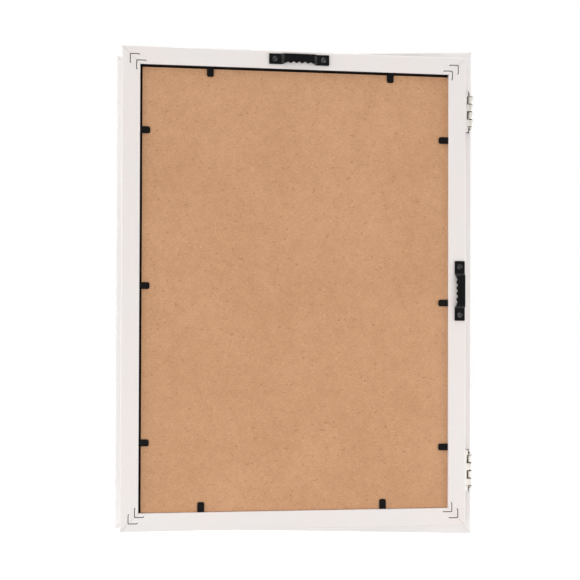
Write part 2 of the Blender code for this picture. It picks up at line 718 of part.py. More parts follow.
def make_hinge(shop, prefix, height, box, box_rail, door, door_rail):
    """Make one butt hinge between the box and the door."""
    for part, facing, parent, rail in (("box", 1, box, box_rail), ("door", -1, door, door_rail)):
        name = f"{prefix}_{part}"
        cut_mortise(shop, f"{name}_mortise", rail, height, facing, parent)
        leaf = make_leaf(shop, f"{name}_leaf", height, facing, parent)
        make_screws(shop, name, leaf, rail, height, facing, parent)
    notch = column(f"{prefix}_notch", BARREL_RADIUS + BARREL_NOTCH_CLEARANCE, LEAF_LENGTH + 2 * SEAT_GAP)
    combine(door_rail, [shop.cutter(f"{prefix}_notch", notch, door, (AXIS_X, AXIS_Y, height))], "DIFFERENCE")
    end = BARREL_LENGTH / 2 + SEAT_GAP
    upper = dome(PIN_HEAD_RADIUS, PIN_HEAD_HEIGHT, end) + [(PIN_RADIUS, end)]
    profile = upper + [(radius, -level) for radius, level in reversed(upper)]
    name = f"{prefix}_pin"
    add_screw(shop.piece(name, turned(name, profile), "nickel", box, (AXIS_X, AXIS_Y, height)))


# Magnet catch in the middle of the free side

def make_catch(shop, box, box_rail, door, door_rail):
    """Sink a magnet in the box's front and a steel plate in the door's back."""
    across = BOX_WIDTH / 2 - BOX_RAIL_WIDTH / 2
    seats = (("catch_magnet", MAGNET_HEIGHT, "magnet", -BOX_DEPTH, 1, box, box_rail),
             ("catch_plate", STRIKER_HEIGHT, "dark_steel", DOOR_BACK, -1, door, door_rail))
    for name, height, finish, face, facing, parent, rail in seats:
        middle = facing * (CATCH_SUNK + height / 2)
        shop.piece(name, disc(name, MAGNET_RADIUS, height, middle), finish, parent, (across, face, 0.0))
        reach = CATCH_SUNK + height + SEAT_GAP
        pocket = disc(f"{name}_pocket", MAGNET_RADIUS + SEAT_GAP, reach + CUT_OVERRUN,
                      facing * (reach - CUT_OVERRUN) / 2)
        combine(rail, [shop.cutter(f"{name}_pocket", pocket, parent, (across, face, 0.0))], "DIFFERENCE")


# Sheets

def make_sheet(shop, name, finish, size, back, parent, shift=(0.0, 0.0)):
    """Make a flat sheet with its back face at a depth."""
    width, height, thickness = size
    mesh = block(name, (width, thickness, height))
    return shop.piece(name, mesh, finish, parent, (shift[0], back - thickness / 2, shift[1]))


def make_sheets(shop, box, door):
    """Make the box's panel, card and photo sheet, and the door's clear sheet."""
    shift = -PANEL_SLACK * PANEL_SHIFT_SHARE
    panel = (REBATE_WIDTH - PANEL_SLACK, REBATE_HEIGHT - PANEL_SLACK, PANEL_THICKNESS)
    card = (SHEET_WIDTH, SHEET_HEIGHT, CARD_THICKNESS)
    photo = (SHEET_WIDTH, SHEET_HEIGHT, SHEET_THICKNESS)
    glazing = (SHEET_WIDTH, SHEET_HEIGHT, GLAZING_THICKNESS)
    make_sheet(shop, "backing_panel", "fibreboard", panel, PANEL_BACK, box, (shift, shift))
    make_sheet(shop, "backing_card", "black_card", card, CARD_BACK, box)
    make_sheet(shop, "photo_sheet", "photo_paper", photo, SHEET_BACK, box)
    make_sheet(shop, "glazing", "clear_sheet", glazing, GLAZING_BACK, door)


def build():
    """Build the whole frame with its door ajar."""
    clear_scene()
    shop = Shop()
    box = shop.empty("box_frame", location=BOX_CENTRE)
    swing = shop.empty("door_axis", box, (AXIS_X, AXIS_Y, 0.0))
    swing.rotation_euler = (0.0, 0.0, -math.radians(DOOR_REST_ANGLE))
    door = shop.empty("door_frame", swing, (-AXIS_X, -AXIS_Y, 0.0))

    box_rails = make_rails(shop, "box", box_section(), BOX_WIDTH, BOX_HEIGHT, box)
    door_rails = make_rails(shop, "door", door_section(), DOOR_WIDTH, DOOR_HEIGHT, door)
    make_sheets(shop, box, door)
    make_box_points(shop, box_rails, box)
    make_door_points(shop, door_rails, door)
    box_nails = {f"_{label}": inset for label, inset in V_NAIL_INSETS.items()}
    make_v_nails(shop, "v_nail", box_rails, box_nails, BOX_WIDTH, BOX_HEIGHT, 0.0, box)
    door_nails = {"": DOOR_V_NAIL_INSET}
    make_v_nails(shop, "door_v_nail", door_rails, door_nails, DOOR_WIDTH, DOOR_HEIGHT, DOOR_BACK, door)
    make_hanger(shop, "hanger_top", box_rails["top"], "top", TOP_HANGER_OFFSET, TOP_HANGER_INSET, box)
    make_hanger(shop, "hanger_side", box_rails["hinge"], "hinge", SIDE_HANGER_OFFSET, SIDE_HANGER_INSET, box)
    for label, height in HINGE_HEIGHTS.items():
        make_hinge(shop, f"hinge_{label}", height, box, box_rails["hinge"], door, door_rails["hinge"])
    make_catch(shop, box, box_rails["free"], door, door_rails["free"])


if __name__ == "__main__":
    build()
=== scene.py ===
"""Looks of the hinged photo frame, seen from the back with its front frame a little ajar.

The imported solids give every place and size. The white mouldings, the fibreboard panel, the black
flexible points, the V-nails, the sawtooth hangers, the nickel hinges and the clear sheet are made
again here with their fine shapes and finishes, and each rides on the body that carries it.

Lengths are in metres. X runs along the width with the hinges at -X, +Y points to the wall and Z
is up. Every piece is made on the closed frame, and the door's are then swung to where it rests.
"""

import json
import logging
import math
from contextlib import contextmanager
from dataclasses import dataclass
from enum import Enum
from typing import Any, Iterable, Iterator, Sequence

import bmesh
import bpy
from mathutils import Matrix, Vector, noise


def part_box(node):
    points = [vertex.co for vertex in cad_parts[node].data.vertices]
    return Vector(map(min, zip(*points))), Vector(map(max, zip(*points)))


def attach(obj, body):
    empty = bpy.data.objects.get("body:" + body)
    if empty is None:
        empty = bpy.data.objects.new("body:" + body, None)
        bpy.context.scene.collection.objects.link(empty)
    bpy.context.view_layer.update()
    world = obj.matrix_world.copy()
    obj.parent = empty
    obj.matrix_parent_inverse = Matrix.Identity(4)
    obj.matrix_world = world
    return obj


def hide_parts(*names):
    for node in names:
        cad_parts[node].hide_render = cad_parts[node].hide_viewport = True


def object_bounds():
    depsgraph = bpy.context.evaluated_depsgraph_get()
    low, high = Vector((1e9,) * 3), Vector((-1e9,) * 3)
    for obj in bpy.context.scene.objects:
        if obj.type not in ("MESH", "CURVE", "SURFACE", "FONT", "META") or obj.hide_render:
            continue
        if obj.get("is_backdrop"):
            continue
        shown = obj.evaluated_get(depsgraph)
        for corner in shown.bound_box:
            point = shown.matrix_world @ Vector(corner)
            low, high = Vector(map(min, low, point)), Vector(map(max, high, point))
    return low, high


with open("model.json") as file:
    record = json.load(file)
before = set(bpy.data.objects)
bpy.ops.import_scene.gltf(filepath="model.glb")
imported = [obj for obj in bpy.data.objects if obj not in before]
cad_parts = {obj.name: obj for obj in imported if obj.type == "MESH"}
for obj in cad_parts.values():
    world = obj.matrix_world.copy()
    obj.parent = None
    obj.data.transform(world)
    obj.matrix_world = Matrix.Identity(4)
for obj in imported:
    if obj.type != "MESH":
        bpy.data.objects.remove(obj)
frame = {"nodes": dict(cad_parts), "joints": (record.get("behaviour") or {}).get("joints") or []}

LOG = logging.getLogger("hinged_photo_frame")
QUARTER = math.pi / 2
Colour = tuple[float, float, float, float]
Place = tuple[float, float, float]
Span = tuple[float, float]

WELD = 0.00001  # points closer than this are one
CREASE = 35.0  # the least turn between two faces, in degrees, that makes a crease
NARROW = 0.9  # the widest face that counts as an edge, as a share of the edge's width
CHAMFER_FACE = 1.6  # the width of a chamfer's edge, as a share of its depth
EVEN = (1.0, 1.0, 1.0)  # the stretch of a pattern that is alike in all directions
MOST = (0.3, 0.7)  # where most of a noise's values lie
WHOLE = (0.0, 1.0)  # the whole span of a share


class Body(Enum):
    """The two bodies of the frame."""

    BOX = "box"
    DOOR = "door"

    @property
    def facing(self) -> float:
        """Return the sign of Y from the hinges' axis to the body's own leaf."""
        return 1.0 if self is Body.BOX else -1.0


class Side(Enum):
    """A side of a frame, with the number of quarter turns that bring the top side to it."""

    TOP = ("top", 0)
    FREE = ("free", 1)
    BOTTOM = ("bottom", 2)
    HINGE = ("hinge", 3)

    @property
    def label(self) -> str:
        """Return the side's name in the nodes' names."""
        return self.value[0]

    @property
    def turn(self) -> float:
        """Return the side's turn about Y in radians."""
        return self.value[1] * QUARTER

    @property
    def level(self) -> bool:
        """Say whether the side runs along X."""
        return self in (Side.TOP, Side.BOTTOM)


class Corner(Enum):
    """A corner of a frame, with the signs of X and Z there."""

    TOP_FREE = ("top_free", 1, 1)
    BOTTOM_FREE = ("bottom_free", 1, -1)
    BOTTOM_HINGE = ("bottom_hinge", -1, -1)
    TOP_HINGE = ("top_hinge", -1, 1)


class Graph:
    """A node tree under construction."""

    def __init__(self, tree: bpy.types.NodeTree) -> None:
        """Start from an existing tree."""
        self.tree = tree

    def add(self, kind: str, feeds: dict[Any, Any] | None = None,
            **settings: Any) -> bpy.types.Node:
        """Add a node.

        Args:
            kind: The node's type name.
            feeds: For each input's name or number, a value or the output that feeds it.
            settings: The node's options.

        Returns:
            The node.
        """
        node = self.tree.nodes.new(kind)
        for option, value in settings.items():
            setattr(node, option, value)
        for key, value in (feeds or {}).items():
            if isinstance(value, bpy.types.NodeSocket):
                self.tree.links.new(value, node.inputs[key])
            else:
                node.inputs[key].default_value = value
        return node

    def math(self, operation: str, *values: Any) -> bpy.types.NodeSocket:
        """Return the result of one sum on values or outputs."""
        return self.add("ShaderNodeMath", dict(enumerate(values)), operation=operation).outputs[0]

    def spread(self, value: Any, span: tuple[Any, Any], to: tuple[Any, Any],
               smooth: bool = False) -> bpy.types.NodeSocket:
        """Map a value from one span to another and hold it there.

        Args:
            value: The output to map.
            span: Where the value starts and ends.
            to: What it becomes there.
            smooth: Ease in and out between the ends.

        Returns:
            The mapped output.
        """
        style = "SMOOTHSTEP" if smooth else "LINEAR"
        feeds = {0: value, 1: span[0], 2: span[1], 3: to[0], 4: to[1]}
        return self.add("ShaderNodeMapRange", feeds, interpolation_type=style).outputs[0]

    def looked_at(self) -> bpy.types.NodeSocket:
        """Tell what the camera sees from what only lights the frame.

        Returns:
            An output that is 1 for the camera, straight or by way of metal or glass, and else 0.
        """
        rays = self.add("ShaderNodeLightPath").outputs
        bounced = self.math("MAXIMUM", rays["Is Glossy Ray"], rays["Is Transmission Ray"])
        return self.math("MAXIMUM", rays["Is Camera Ray"], bounced)


class Recipe(Graph):
    """A Geometry Nodes tree with named sizes."""

    KINDS = {float: "NodeSocketFloat", bpy.types.Object: "NodeSocketObject",
             bpy.types.Material: "NodeSocketMaterial"}

    def __init__(self, name: str) -> None:
        """Start a tree that takes a geometry and gives one.

        Args:
            name: The tree's name.
        """
        super().__init__(bpy.data.node_groups.new(name, "GeometryNodeTree"))
        self.tree.is_modifier = True
        for way in ("INPUT", "OUTPUT"):
            self.tree.interface.new_socket("Geometry", in_out=way, socket_type="NodeSocketGeometry")
        self.entry = self.tree.nodes.new("NodeGroupInput")
        self.values: dict[str, Any] = {}

    @property
    def base(self) -> bpy.types.NodeSocket:
        """Return the geometry that the tree starts from."""
        return self.entry.outputs["Geometry"]

    def size(self, name: str, value: Any) -> bpy.types.NodeSocket:
        """Add a named input.

        Args:
            name: The input's name.
            value: What it is set to on the modifier: a number, an object or a material.

        Returns:
            The output that carries it inside the tree.
        """
        kind = self.KINDS[type(value)]
        item = self.tree.interface.new_socket(name, in_out="INPUT", socket_type=kind)
        self.values[item.identifier] = value
        return self.entry.outputs[name]

    def prism(self, flat: bpy.types.NodeSocket, offset: Any) -> bpy.types.NodeSocket:
        """Extrude flat faces into closed solids.

        Args:
            flat: The faces.
            offset: The extrusion's vector.

        Returns:
            The solids.
        """
        feeds = {"Mesh": flat, "Offset": offset, "Offset Scale": 1.0, "Individual": False}
        tall = self.add("GeometryNodeExtrudeMesh", feeds)
        lid = self.add("GeometryNodeFlipFaces", {"Mesh": flat}).outputs[0]
        both = self.add("GeometryNodeJoinGeometry", {0: lid})
        self.tree.links.new(tall.outputs["Mesh"], both.inputs[0])
        feeds = {0: both.outputs[0], "Distance": WELD}
        return self.add("GeometryNodeMergeByDistance", feeds).outputs[0]

    def vector(self, x: Any = 0.0, y: Any = 0.0, z: Any = 0.0) -> bpy.types.NodeSocket:
        """Return a vector of three values or outputs."""
        return self.add("ShaderNodeCombineXYZ", {0: x, 1: y, 2: z}).outputs[0]

    def position(self) -> list[bpy.types.NodeSocket]:
        """Return the outputs for a point's X, Y and Z."""
        place = self.add("GeometryNodeInputPosition").outputs[0]
        return list(self.add("ShaderNodeSeparateXYZ", {0: place}).outputs)

    def end(self, geometry: bpy.types.NodeSocket, finish: bpy.types.Material) -> "Recipe":
        """Realize the geometry, give it its finish and close the tree.

        Args:
            geometry: What the tree has made.
            finish: The material that it takes.

        Returns:
            The tree itself.
        """
        real = self.add("GeometryNodeRealizeInstances", {0: geometry}).outputs[0]
        feeds = {0: real, "Material": self.size("Finish", finish)}
        dressed = self.add("GeometryNodeSetMaterial", feeds)
        self.add("NodeGroupOutput", {0: dressed.outputs[0]})
        return self

    def grow(self, name: str, base: bpy.types.Mesh) -> bpy.types.Object:
        """Run the tree on a mesh.

        Args:
            name: The new object's name.
            base: The mesh that the tree starts from.

        Returns:
            An object with the plain mesh that comes out.
        """
        item = put(name, base)
        modifier = item.modifiers.new("shape", "NODES")
        modifier.node_group = self.tree
        for identifier, value in self.values.items():
            modifier[identifier] = value
        return settle(item)


@dataclass(frozen=True)
class Specks:
    """Specks of another tone, scattered over a surface."""

    tone: Colour
    size: float
    span: Span
    share: float
    detail: float = 2.0
    rough: float = 0.4
    stretch: Place = EVEN


class Surface(Graph):
    """A procedural material around a Principled shader, patterned on Object coordinates."""

    def __init__(self, name: str, roughness: float, **constants: Any) -> None:
        """Start a material.

        Args:
            name: The material's name.
            roughness: The shader's roughness, which a pattern may replace.
            constants: Other values for the shader's sockets, with spaces written as underscores.
        """
        self.material = bpy.data.materials.new(name)
        self.material.use_nodes = True
        super().__init__(self.material.node_tree)
        self.shader = self.tree.nodes["Principled BSDF"]
        self.shader.inputs["Roughness"].default_value = roughness
        for key, value in constants.items():
            self.shader.inputs[key.replace("_", " ")].default_value = value
        self.place = self.add("ShaderNodeTexCoord").outputs["Object"]

    def noise(self, grain: float, detail: float = 3.0, rough: float = 0.55,
              stretch: Place = EVEN) -> bpy.types.NodeSocket:
        """Add a noise.

        Args:
            grain: The size of its features in metres.
            detail: How many finer layers it has.
            rough: How strong the finer layers are.
            stretch: How much longer the features are along X, Y and Z.

        Returns:
            The noise's value.
        """
        scale = tuple(1 / (grain * share) for share in stretch)
        spot = self.add("ShaderNodeMapping", {"Vector": self.place, "Scale": scale}).outputs[0]
        feeds = {"Vector": spot, "Scale": 1.0, "Detail": detail, "Roughness": rough}
        return self.add("ShaderNodeTexNoise", feeds).outputs[0]

    def blend(self, share: Any, first: Any, second: Any) -> bpy.types.NodeSocket:
        """Mix two colours, values or outputs, by a share."""
        feeds = {0: share, 6: first, 7: second}
        return self.add("ShaderNodeMix", feeds, data_type="RGBA").outputs[2]

    def scatter(self, ground: Any, specks: Specks) -> bpy.types.NodeSocket:
        """Scatter specks over a colour.

        Args:
            ground: The colour, as a value or an output.
            specks: The specks.

        Returns:
            The speckled colour.
        """
        pattern = self.noise(specks.size, specks.detail, specks.rough, specks.stretch)
        share = self.spread(pattern, specks.span, (0.0, specks.share))
        return self.blend(share, ground, specks.tone)

    def feed(self, socket: str, value: bpy.types.NodeSocket) -> None:
        """Feed one of the shader's sockets."""
        self.tree.links.new(value, self.shader.inputs[socket])

    def relief(self, *layers: tuple[bpy.types.NodeSocket, float]) -> None:
        """Give the surface its relief.

        Args:
            layers: Each layer's pattern and its height in metres.
        """
        normal = None
        for height, depth in layers:
            feeds = {"Height": height, "Strength": 1.0, "Distance": depth}
            if normal is not None:
                feeds["Normal"] = normal
            normal = self.add("ShaderNodeBump", feeds).outputs[0]
        self.feed("Normal", normal)

    def mark(self, name: str) -> bpy.types.NodeSocket:
        """Return a mark on the mesh: 'edge' on rounded edges and, as painted highlight, on the
        hanger's ramps, or the mark of faces that carry painted shade.
        """
        return self.add("ShaderNodeAttribute", attribute_name=name).outputs["Fac"]


def grey(value: float) -> Colour:
    """Return a neutral colour."""
    return (value, value, value, 1.0)


@dataclass(frozen=True)
class Lacquer:
    """White lacquer on a moulding: clouds, orange peel and dust. Cut recesses show raw timber,
    painted dark as shade.
    """

    name: str = "white_lacquer"
    roughness: float = 0.42
    gloss: Span = (0.36, 0.50)
    warm: Colour = (0.875, 0.805, 0.774, 1.0)
    cool: Colour = (0.855, 0.820, 0.804, 1.0)
    cloud: float = 0.060
    cloud_span: Span = (0.35, 0.65)
    dust: Specks = Specks((0.560, 0.500, 0.450, 1.0), size=0.0022, span=(0.785, 0.82),
                          share=0.35, detail=1.0, rough=0.3)
    # Raw timber in cut recesses, painted dark as shade.
    wood: Colour = (0.150, 0.085, 0.045, 1.0)
    pore: Colour = (0.075, 0.040, 0.022, 1.0)
    pore_size: float = 0.0008
    pore_stretch: Place = (1.0, 1.0, 6.0)
    swell_depth: float = 0.00035
    peel: float = 0.0016
    peel_depth: float = 0.00004

    def make(self) -> bpy.types.Material:
        """Build the material.

        Returns:
            The material.
        """
        work = Surface(self.name, self.roughness, Coat_Weight=0.15, Coat_Roughness=0.35)
        clouds = work.spread(work.noise(self.cloud, detail=4.0), self.cloud_span, WHOLE)
        sprayed = work.scatter(work.blend(clouds, self.warm, self.cool), self.dust)
        pores = work.noise(self.pore_size, rough=0.6, stretch=self.pore_stretch)
        # Recess faces take the dark timber tone: raw cut faces with painted shade.
        cut = work.blend(pores, self.wood, self.pore)
        work.feed("Base Color", work.blend(work.mark("bare"), sprayed, cut))
        shine = work.noise(self.cloud / 4, detail=5.0)
        work.feed("Roughness", work.spread(shine, MOST, self.gloss))
        swell = work.noise(self.cloud / 3, detail=2.0)
        peel = work.noise(self.peel, detail=2.0)
        work.relief((swell, self.swell_depth), (peel, self.peel_depth))
        return work.material


@dataclass(frozen=True)
class Fibreboard:
    """Bare fibreboard: pressed fibres, dark flecks, pale husks, and soft clouds of tone."""

    name: str = "fibreboard"
    roughness: float = 0.85
    dark: Colour = (0.553, 0.292, 0.151, 1.0)
    light: Colour = (0.692, 0.392, 0.221, 1.0)
    cloud: float = 0.090
    cloud_share: Span = (-0.2, 0.2)
    mottle: float = 0.0075
    mottle_share: Span = (-0.14, 0.18)
    fibre: float = 0.0010
    fibre_span: Span = (0.42, 0.70)
    fibre_share: Span = (0.04, 0.98)
    along: Place = (3.0, 1.0, 1.0)
    across: Place = (1.0, 1.0, 2.2)
    flecks: Specks = Specks((0.340, 0.130, 0.052, 1.0), size=0.0024, span=(0.66, 0.73),
                            share=0.42, stretch=(1.4, 1.0, 1.0))
    husks: Specks = Specks((0.820, 0.520, 0.325, 1.0), size=0.0016, span=(0.67, 0.74),
                           share=0.50, stretch=(1.0, 1.0, 1.6))
    fibre_depth: float = 0.00008
    fuzz_depth: float = 0.00003

    def make(self) -> bpy.types.Material:
        """Build the material.

        Returns:
            The material.
        """
        work = Surface(self.name, self.roughness, Specular_IOR_Level=0.25)
        clouds = work.spread(work.noise(self.cloud, detail=4.0, rough=0.6), MOST, self.cloud_share)
        mottle = work.spread(work.noise(self.mottle, rough=0.5), MOST, self.mottle_share)
        along, across = (work.noise(self.fibre, rough=0.6, stretch=way)
                         for way in (self.along, self.across))
        fibres = work.math("MAXIMUM", along, across)
        share = work.math("ADD", work.math("ADD", clouds, mottle),
                          work.spread(fibres, self.fibre_span, self.fibre_share))
        tone = work.blend(share, self.dark, self.light)
        for specks in (self.flecks, self.husks):
            tone = work.scatter(tone, specks)
        work.feed("Base Color", tone)
        fuzz = work.noise(self.fibre / 3, detail=2.0)
        work.relief((fibres, self.fibre_depth), (fuzz, self.fuzz_depth))
        return work.material


@dataclass(frozen=True)
class BlackCard:
    """Matt black card with a paper tooth and a little dust."""

    name: str = "black_card"
    roughness: float = 0.92
    tone: Colour = (0.011, 0.010, 0.010, 1.0)
    dust: Specks = Specks((0.035, 0.032, 0.030, 1.0), size=0.012, span=(0.5, 0.8),
                          share=0.6, detail=5.0, rough=0.7)
    tooth: float = 0.0006
    tooth_depth: float = 0.00003

    def make(self) -> bpy.types.Material:
        """Build the material.

        Returns:
            The material.
        """
        work = Surface(self.name, self.roughness, Specular_IOR_Level=0.2)
        work.feed("Base Color", work.scatter(self.tone, self.dust))
        work.relief((work.noise(self.tooth, detail=4.0, rough=0.7), self.tooth_depth))
        return work.material


@dataclass(frozen=True)
class PhotoPaper:
    """Blank semi-matt photo paper."""

    name: str = "photo_paper"
    roughness: float = 0.38
    first: Colour = (0.870, 0.868, 0.855, 1.0)
    second: Colour = (0.845, 0.842, 0.835, 1.0)
    cloud: float = 0.12
    pearl: float = 0.0009
    pearl_depth: float = 0.00002

    def make(self) -> bpy.types.Material:
        """Build the material.

        Returns:
            The material.
        """
        work = Surface(self.name, self.roughness, Coat_Weight=0.1, Coat_Roughness=0.3)
        work.feed("Base Color", work.blend(work.noise(self.cloud), self.first, self.second))
        work.relief((work.noise(self.pearl, detail=2.0), self.pearl_depth))
        return work.material


@dataclass(frozen=True)
class ClearSheet:
    """A clear acrylic sheet with faint haze."""

    name: str = "clear_sheet"
    roughness: float = 0.02
    tint: Colour = (0.975, 0.990, 0.985, 1.0)
    clear: Colour = (0.985, 0.985, 0.985, 1.0)
    cloud: float = 0.08
    smear: float = 0.02
    smear_span: Span = (0.45, 0.8)
    haze: Span = (0.01, 0.05)

    def make(self) -> bpy.types.Material:
        """Build the material.

        Returns:
            The material.
        """
        work = Surface(self.name, self.roughness, Transmission_Weight=1.0, IOR=1.49)
        cloud = work.noise(self.cloud, detail=2.0)
        smears = work.noise(self.smear, detail=4.0)
        work.feed("Base Color", work.blend(cloud, self.tint, self.clear))
        work.feed("Roughness", work.spread(smears, self.smear_span, self.haze))
        return work.material


@dataclass(frozen=True)
class Metal:
    """A metal, uncoated or blackened: brushed grain, tarnish, lighter edges that on the black
    hanger and nails are partly painted highlight, and painted shade in recesses.
    """

    name: str
    tone: Colour
    tarnish: Colour
    rubbed: Colour
    roughness: Span
    grain: float
    stretch: Place = EVEN
    metallic: float = 1.0
    specular: float = 0.5
    grain_depth: float = 0.00002
    stain_grains: int = 9
    stain_span: Span = (0.42, 0.68)
    wear: float = 0.5
    wear_grains: int = 4
    wear_span: Span = (0.4, 0.6)
    wear_share: Span = (0.2, 1.0)
    dent_grains: int = 5
    dent_depth: float = 0.00012
    # A near-black tone painted on cut and hidden faces as shade.
    grime: Colour = (0.022, 0.018, 0.015, 1.0)

    def make(self) -> bpy.types.Material:
        """Build the material.

        Returns:
            The material.
        """
        work = Surface(self.name, self.roughness[0], Metallic=self.metallic,
                       Specular_IOR_Level=self.specular)
        grain = work.noise(self.grain, detail=4.0, rough=0.65, stretch=self.stretch)
        stain = work.noise(self.grain * self.stain_grains, detail=4.0, rough=0.65)
        tone = work.blend(work.spread(stain, self.stain_span, WHOLE), self.tone, self.tarnish)
        patches = work.noise(self.grain * self.wear_grains)
        # Edges, and the hanger's marked ramps, take the lighter edge tone: real rubbing, and on the
        # black hanger and nail steels also painted highlight.
        rub_and_highlight = work.math("MULTIPLY", work.mark("edge"),
                        work.spread(patches, self.wear_span, self.wear_share))
        worn_and_highlighted = work.blend(work.math("MULTIPLY", rub_and_highlight, self.wear), tone, self.rubbed)
        # Faces marked for painted shade take the near-black tone.
        work.feed("Base Color", work.blend(work.mark("bare"), worn_and_highlighted, self.grime))
        work.feed("Roughness", work.spread(grain, MOST, self.roughness))
        dents = work.noise(self.grain * self.dent_grains, detail=2.0)
        work.relief((dents, self.dent_depth), (grain, self.grain_depth))
        return work.material


class Finish(Enum):
    """Every finish on the frame."""

    LACQUER = Lacquer()
    # The door's lacquer is a lighter copy of the box's: painted light for the extra light on the
    # door's back strips.
    FRONT = Lacquer(warm=(0.935, 0.895, 0.880, 1.0), cool=(0.925, 0.895, 0.885, 1.0))
    FIBREBOARD = Fibreboard()
    CARD = BlackCard()
    PAPER = PhotoPaper()
    CLEAR = ClearSheet()
    SPRING = Metal(
        "black_spring_steel", tone=(0.003, 0.003, 0.003, 1.0), tarnish=(0.007, 0.006, 0.006, 1.0),
        rubbed=(0.07, 0.065, 0.06, 1.0), roughness=(0.28, 0.44), grain=0.0008,
        metallic=0.0, specular=0.09, wear=0.30)
    # The hanger's lighter tone on its edges and ramps is partly real rubbing and partly painted
    # highlight.
    BLACKENED = Metal(
        "black_hanger_steel", tone=(0.002, 0.002, 0.002, 1.0), tarnish=(0.006, 0.006, 0.006, 1.0),
        rubbed=(0.12, 0.115, 0.11, 1.0), roughness=(0.20, 0.34), grain=0.0010,
        metallic=0.0, specular=0.10, wear=0.35)
    STEEL = Metal(
        "dark_steel", tone=(0.040, 0.031, 0.028, 1.0), tarnish=(0.022, 0.017, 0.015, 1.0),
        rubbed=(0.12, 0.10, 0.09, 1.0), roughness=(0.42, 0.58), grain=0.0006,
        metallic=0.3, specular=0.25, wear=0.4)
    # The nail heads' lighter brims are partly real rubbing and partly painted highlight on their
    # rims.
    NAIL = Metal(
        "black_nail_steel", tone=(0.004, 0.004, 0.004, 1.0), tarnish=(0.009, 0.008, 0.008, 1.0),
        rubbed=(0.22, 0.215, 0.21, 1.0), roughness=(0.14, 0.24), grain=0.0010,
        metallic=0.0, specular=0.16, wear=0.45)
    PLATE = Metal(
        "plate_steel", tone=(0.34, 0.33, 0.32, 1.0), tarnish=(0.22, 0.21, 0.20, 1.0),
        rubbed=(0.56, 0.55, 0.54, 1.0), roughness=(0.30, 0.44), grain=0.0009,
        stretch=(4.0, 1.0, 1.0), wear=0.6)
    NICKEL = Metal(
        "nickel", tone=(0.71, 0.68, 0.64, 1.0), tarnish=(0.62, 0.585, 0.545, 1.0),
        rubbed=(0.86, 0.83, 0.79, 1.0), roughness=(0.28, 0.42), grain=0.0009,
        stretch=(1.0, 1.0, 5.0))
    MAGNET = Metal(
        "magnet", tone=(0.50, 0.50, 0.51, 1.0), tarnish=(0.40, 0.40, 0.41, 1.0),
        rubbed=(0.75, 0.75, 0.76, 1.0), roughness=(0.16, 0.28), grain=0.0010)

    @property
    def material(self) -> bpy.types.Material:
        """Return the finish's material, made once."""
        return bpy.data.materials.get(f"finish_{self.name.lower()}") or self._make()

    def _make(self) -> bpy.types.Material:
        """Make the material and name it for its finish.

        Returns:
            The material.
        """
        material = self.value.make()
        material.name = f"finish_{self.name.lower()}"
        return material

    @property
    def slot(self) -> str:
        """Return the record's slot for the finish."""
        dark = (Finish.BLACKENED, Finish.NAIL, Finish.PLATE)
        return Finish.STEEL.value.name if self in dark else self.value.name


def put(name: str, data: bpy.types.ID) -> bpy.types.Object:
    """Add an object to the scene.

    Args:
        name: The object's name.
        data: Its mesh, curve, lamp or camera.

    Returns:
        The object.
    """
    item = bpy.data.objects.new(name, data)
    bpy.context.scene.collection.objects.link(item)
    return item


def settle(item: bpy.types.Object) -> bpy.types.Object:
    """Turn an object and its modifiers into a plain mesh.

    Args:
        item: The object.

    Returns:
        The same object.
    """
    bpy.context.view_layer.update()
    seen = item.evaluated_get(bpy.context.evaluated_depsgraph_get())
    item.data = bpy.data.meshes.new_from_object(seen)
    item.modifiers.clear()
    return item


@contextmanager
def editing(mesh: bpy.types.Mesh) -> Iterator[bmesh.types.BMesh]:
    """Open a mesh for editing and write it back at the end.

    Args:
        mesh: The mesh.

    Yields:
        Its bmesh.
    """
    bm = bmesh.new()
    bm.from_mesh(mesh)
    yield bm
    bm.to_mesh(mesh)
    bm.free()


def to_mesh(name: str, bm: bmesh.types.BMesh) -> bpy.types.Mesh:
    """Turn a bmesh into a mesh with its faces out.

    Args:
        name: The mesh's name.
        bm: The bmesh. It is used up.

    Returns:
        The mesh.
    """
    bmesh.ops.recalc_face_normals(bm, faces=bm.faces)
    mesh = bpy.data.meshes.new(name)
    bm.to_mesh(mesh)
    bm.free()
    return mesh


def add_block(bm: bmesh.types.BMesh, low: Vector, high: Vector,
              spin: Matrix = Matrix.Identity(4)) -> None:
    """Add a block between two corners to a bmesh, then turned and moved by spin."""
    size = Matrix.Diagonal((*(high - low), 1.0))
    bmesh.ops.create_cube(bm, size=1.0, matrix=spin @ Matrix.Translation((low + high) / 2) @ size)


def slab(name: str, low: Vector, high: Vector) -> bpy.types.Object:
    """Make a plain slab.

    Args:
        name: Its name.
        low: Its lowest corner.
        high: Its highest corner.

    Returns:
        The slab.
    """
    bm = bmesh.new()
    add_block(bm, low, high)
    return put(name, to_mesh(name, bm))


def carve(item: bpy.types.Object, cutters: Iterable[bpy.types.Object]) -> bpy.types.Object:
    """Cut recesses out of a piece, and mark the cut faces for painted shade.

    Args:
        item: The piece.
        cutters: What is cut out of it. They are used up.

    Returns:
        The piece, with a plain mesh.
    """
    for cutter in cutters:
        # The cutter's faces carry the mark for painted shade; the piece's own faces do not.
        for target, share in ((item, 0.0), (cutter, 1.0)):
            if "bare" not in target.data.attributes:
                layer = target.data.attributes.new("bare", "FLOAT", "FACE")
                layer.data.foreach_set("value", [share] * len(target.data.polygons))
        modifier = item.modifiers.new("recess", "BOOLEAN")
        modifier.object = cutter
        settle(item)
        bpy.data.objects.remove(cutter)
    return item


def shade(mesh: bpy.types.Mesh) -> None:
    """Shade a mesh smooth, and its creases sharp."""
    mesh.shade_smooth()
    mesh.set_sharp_from_angle(angle=math.radians(CREASE))


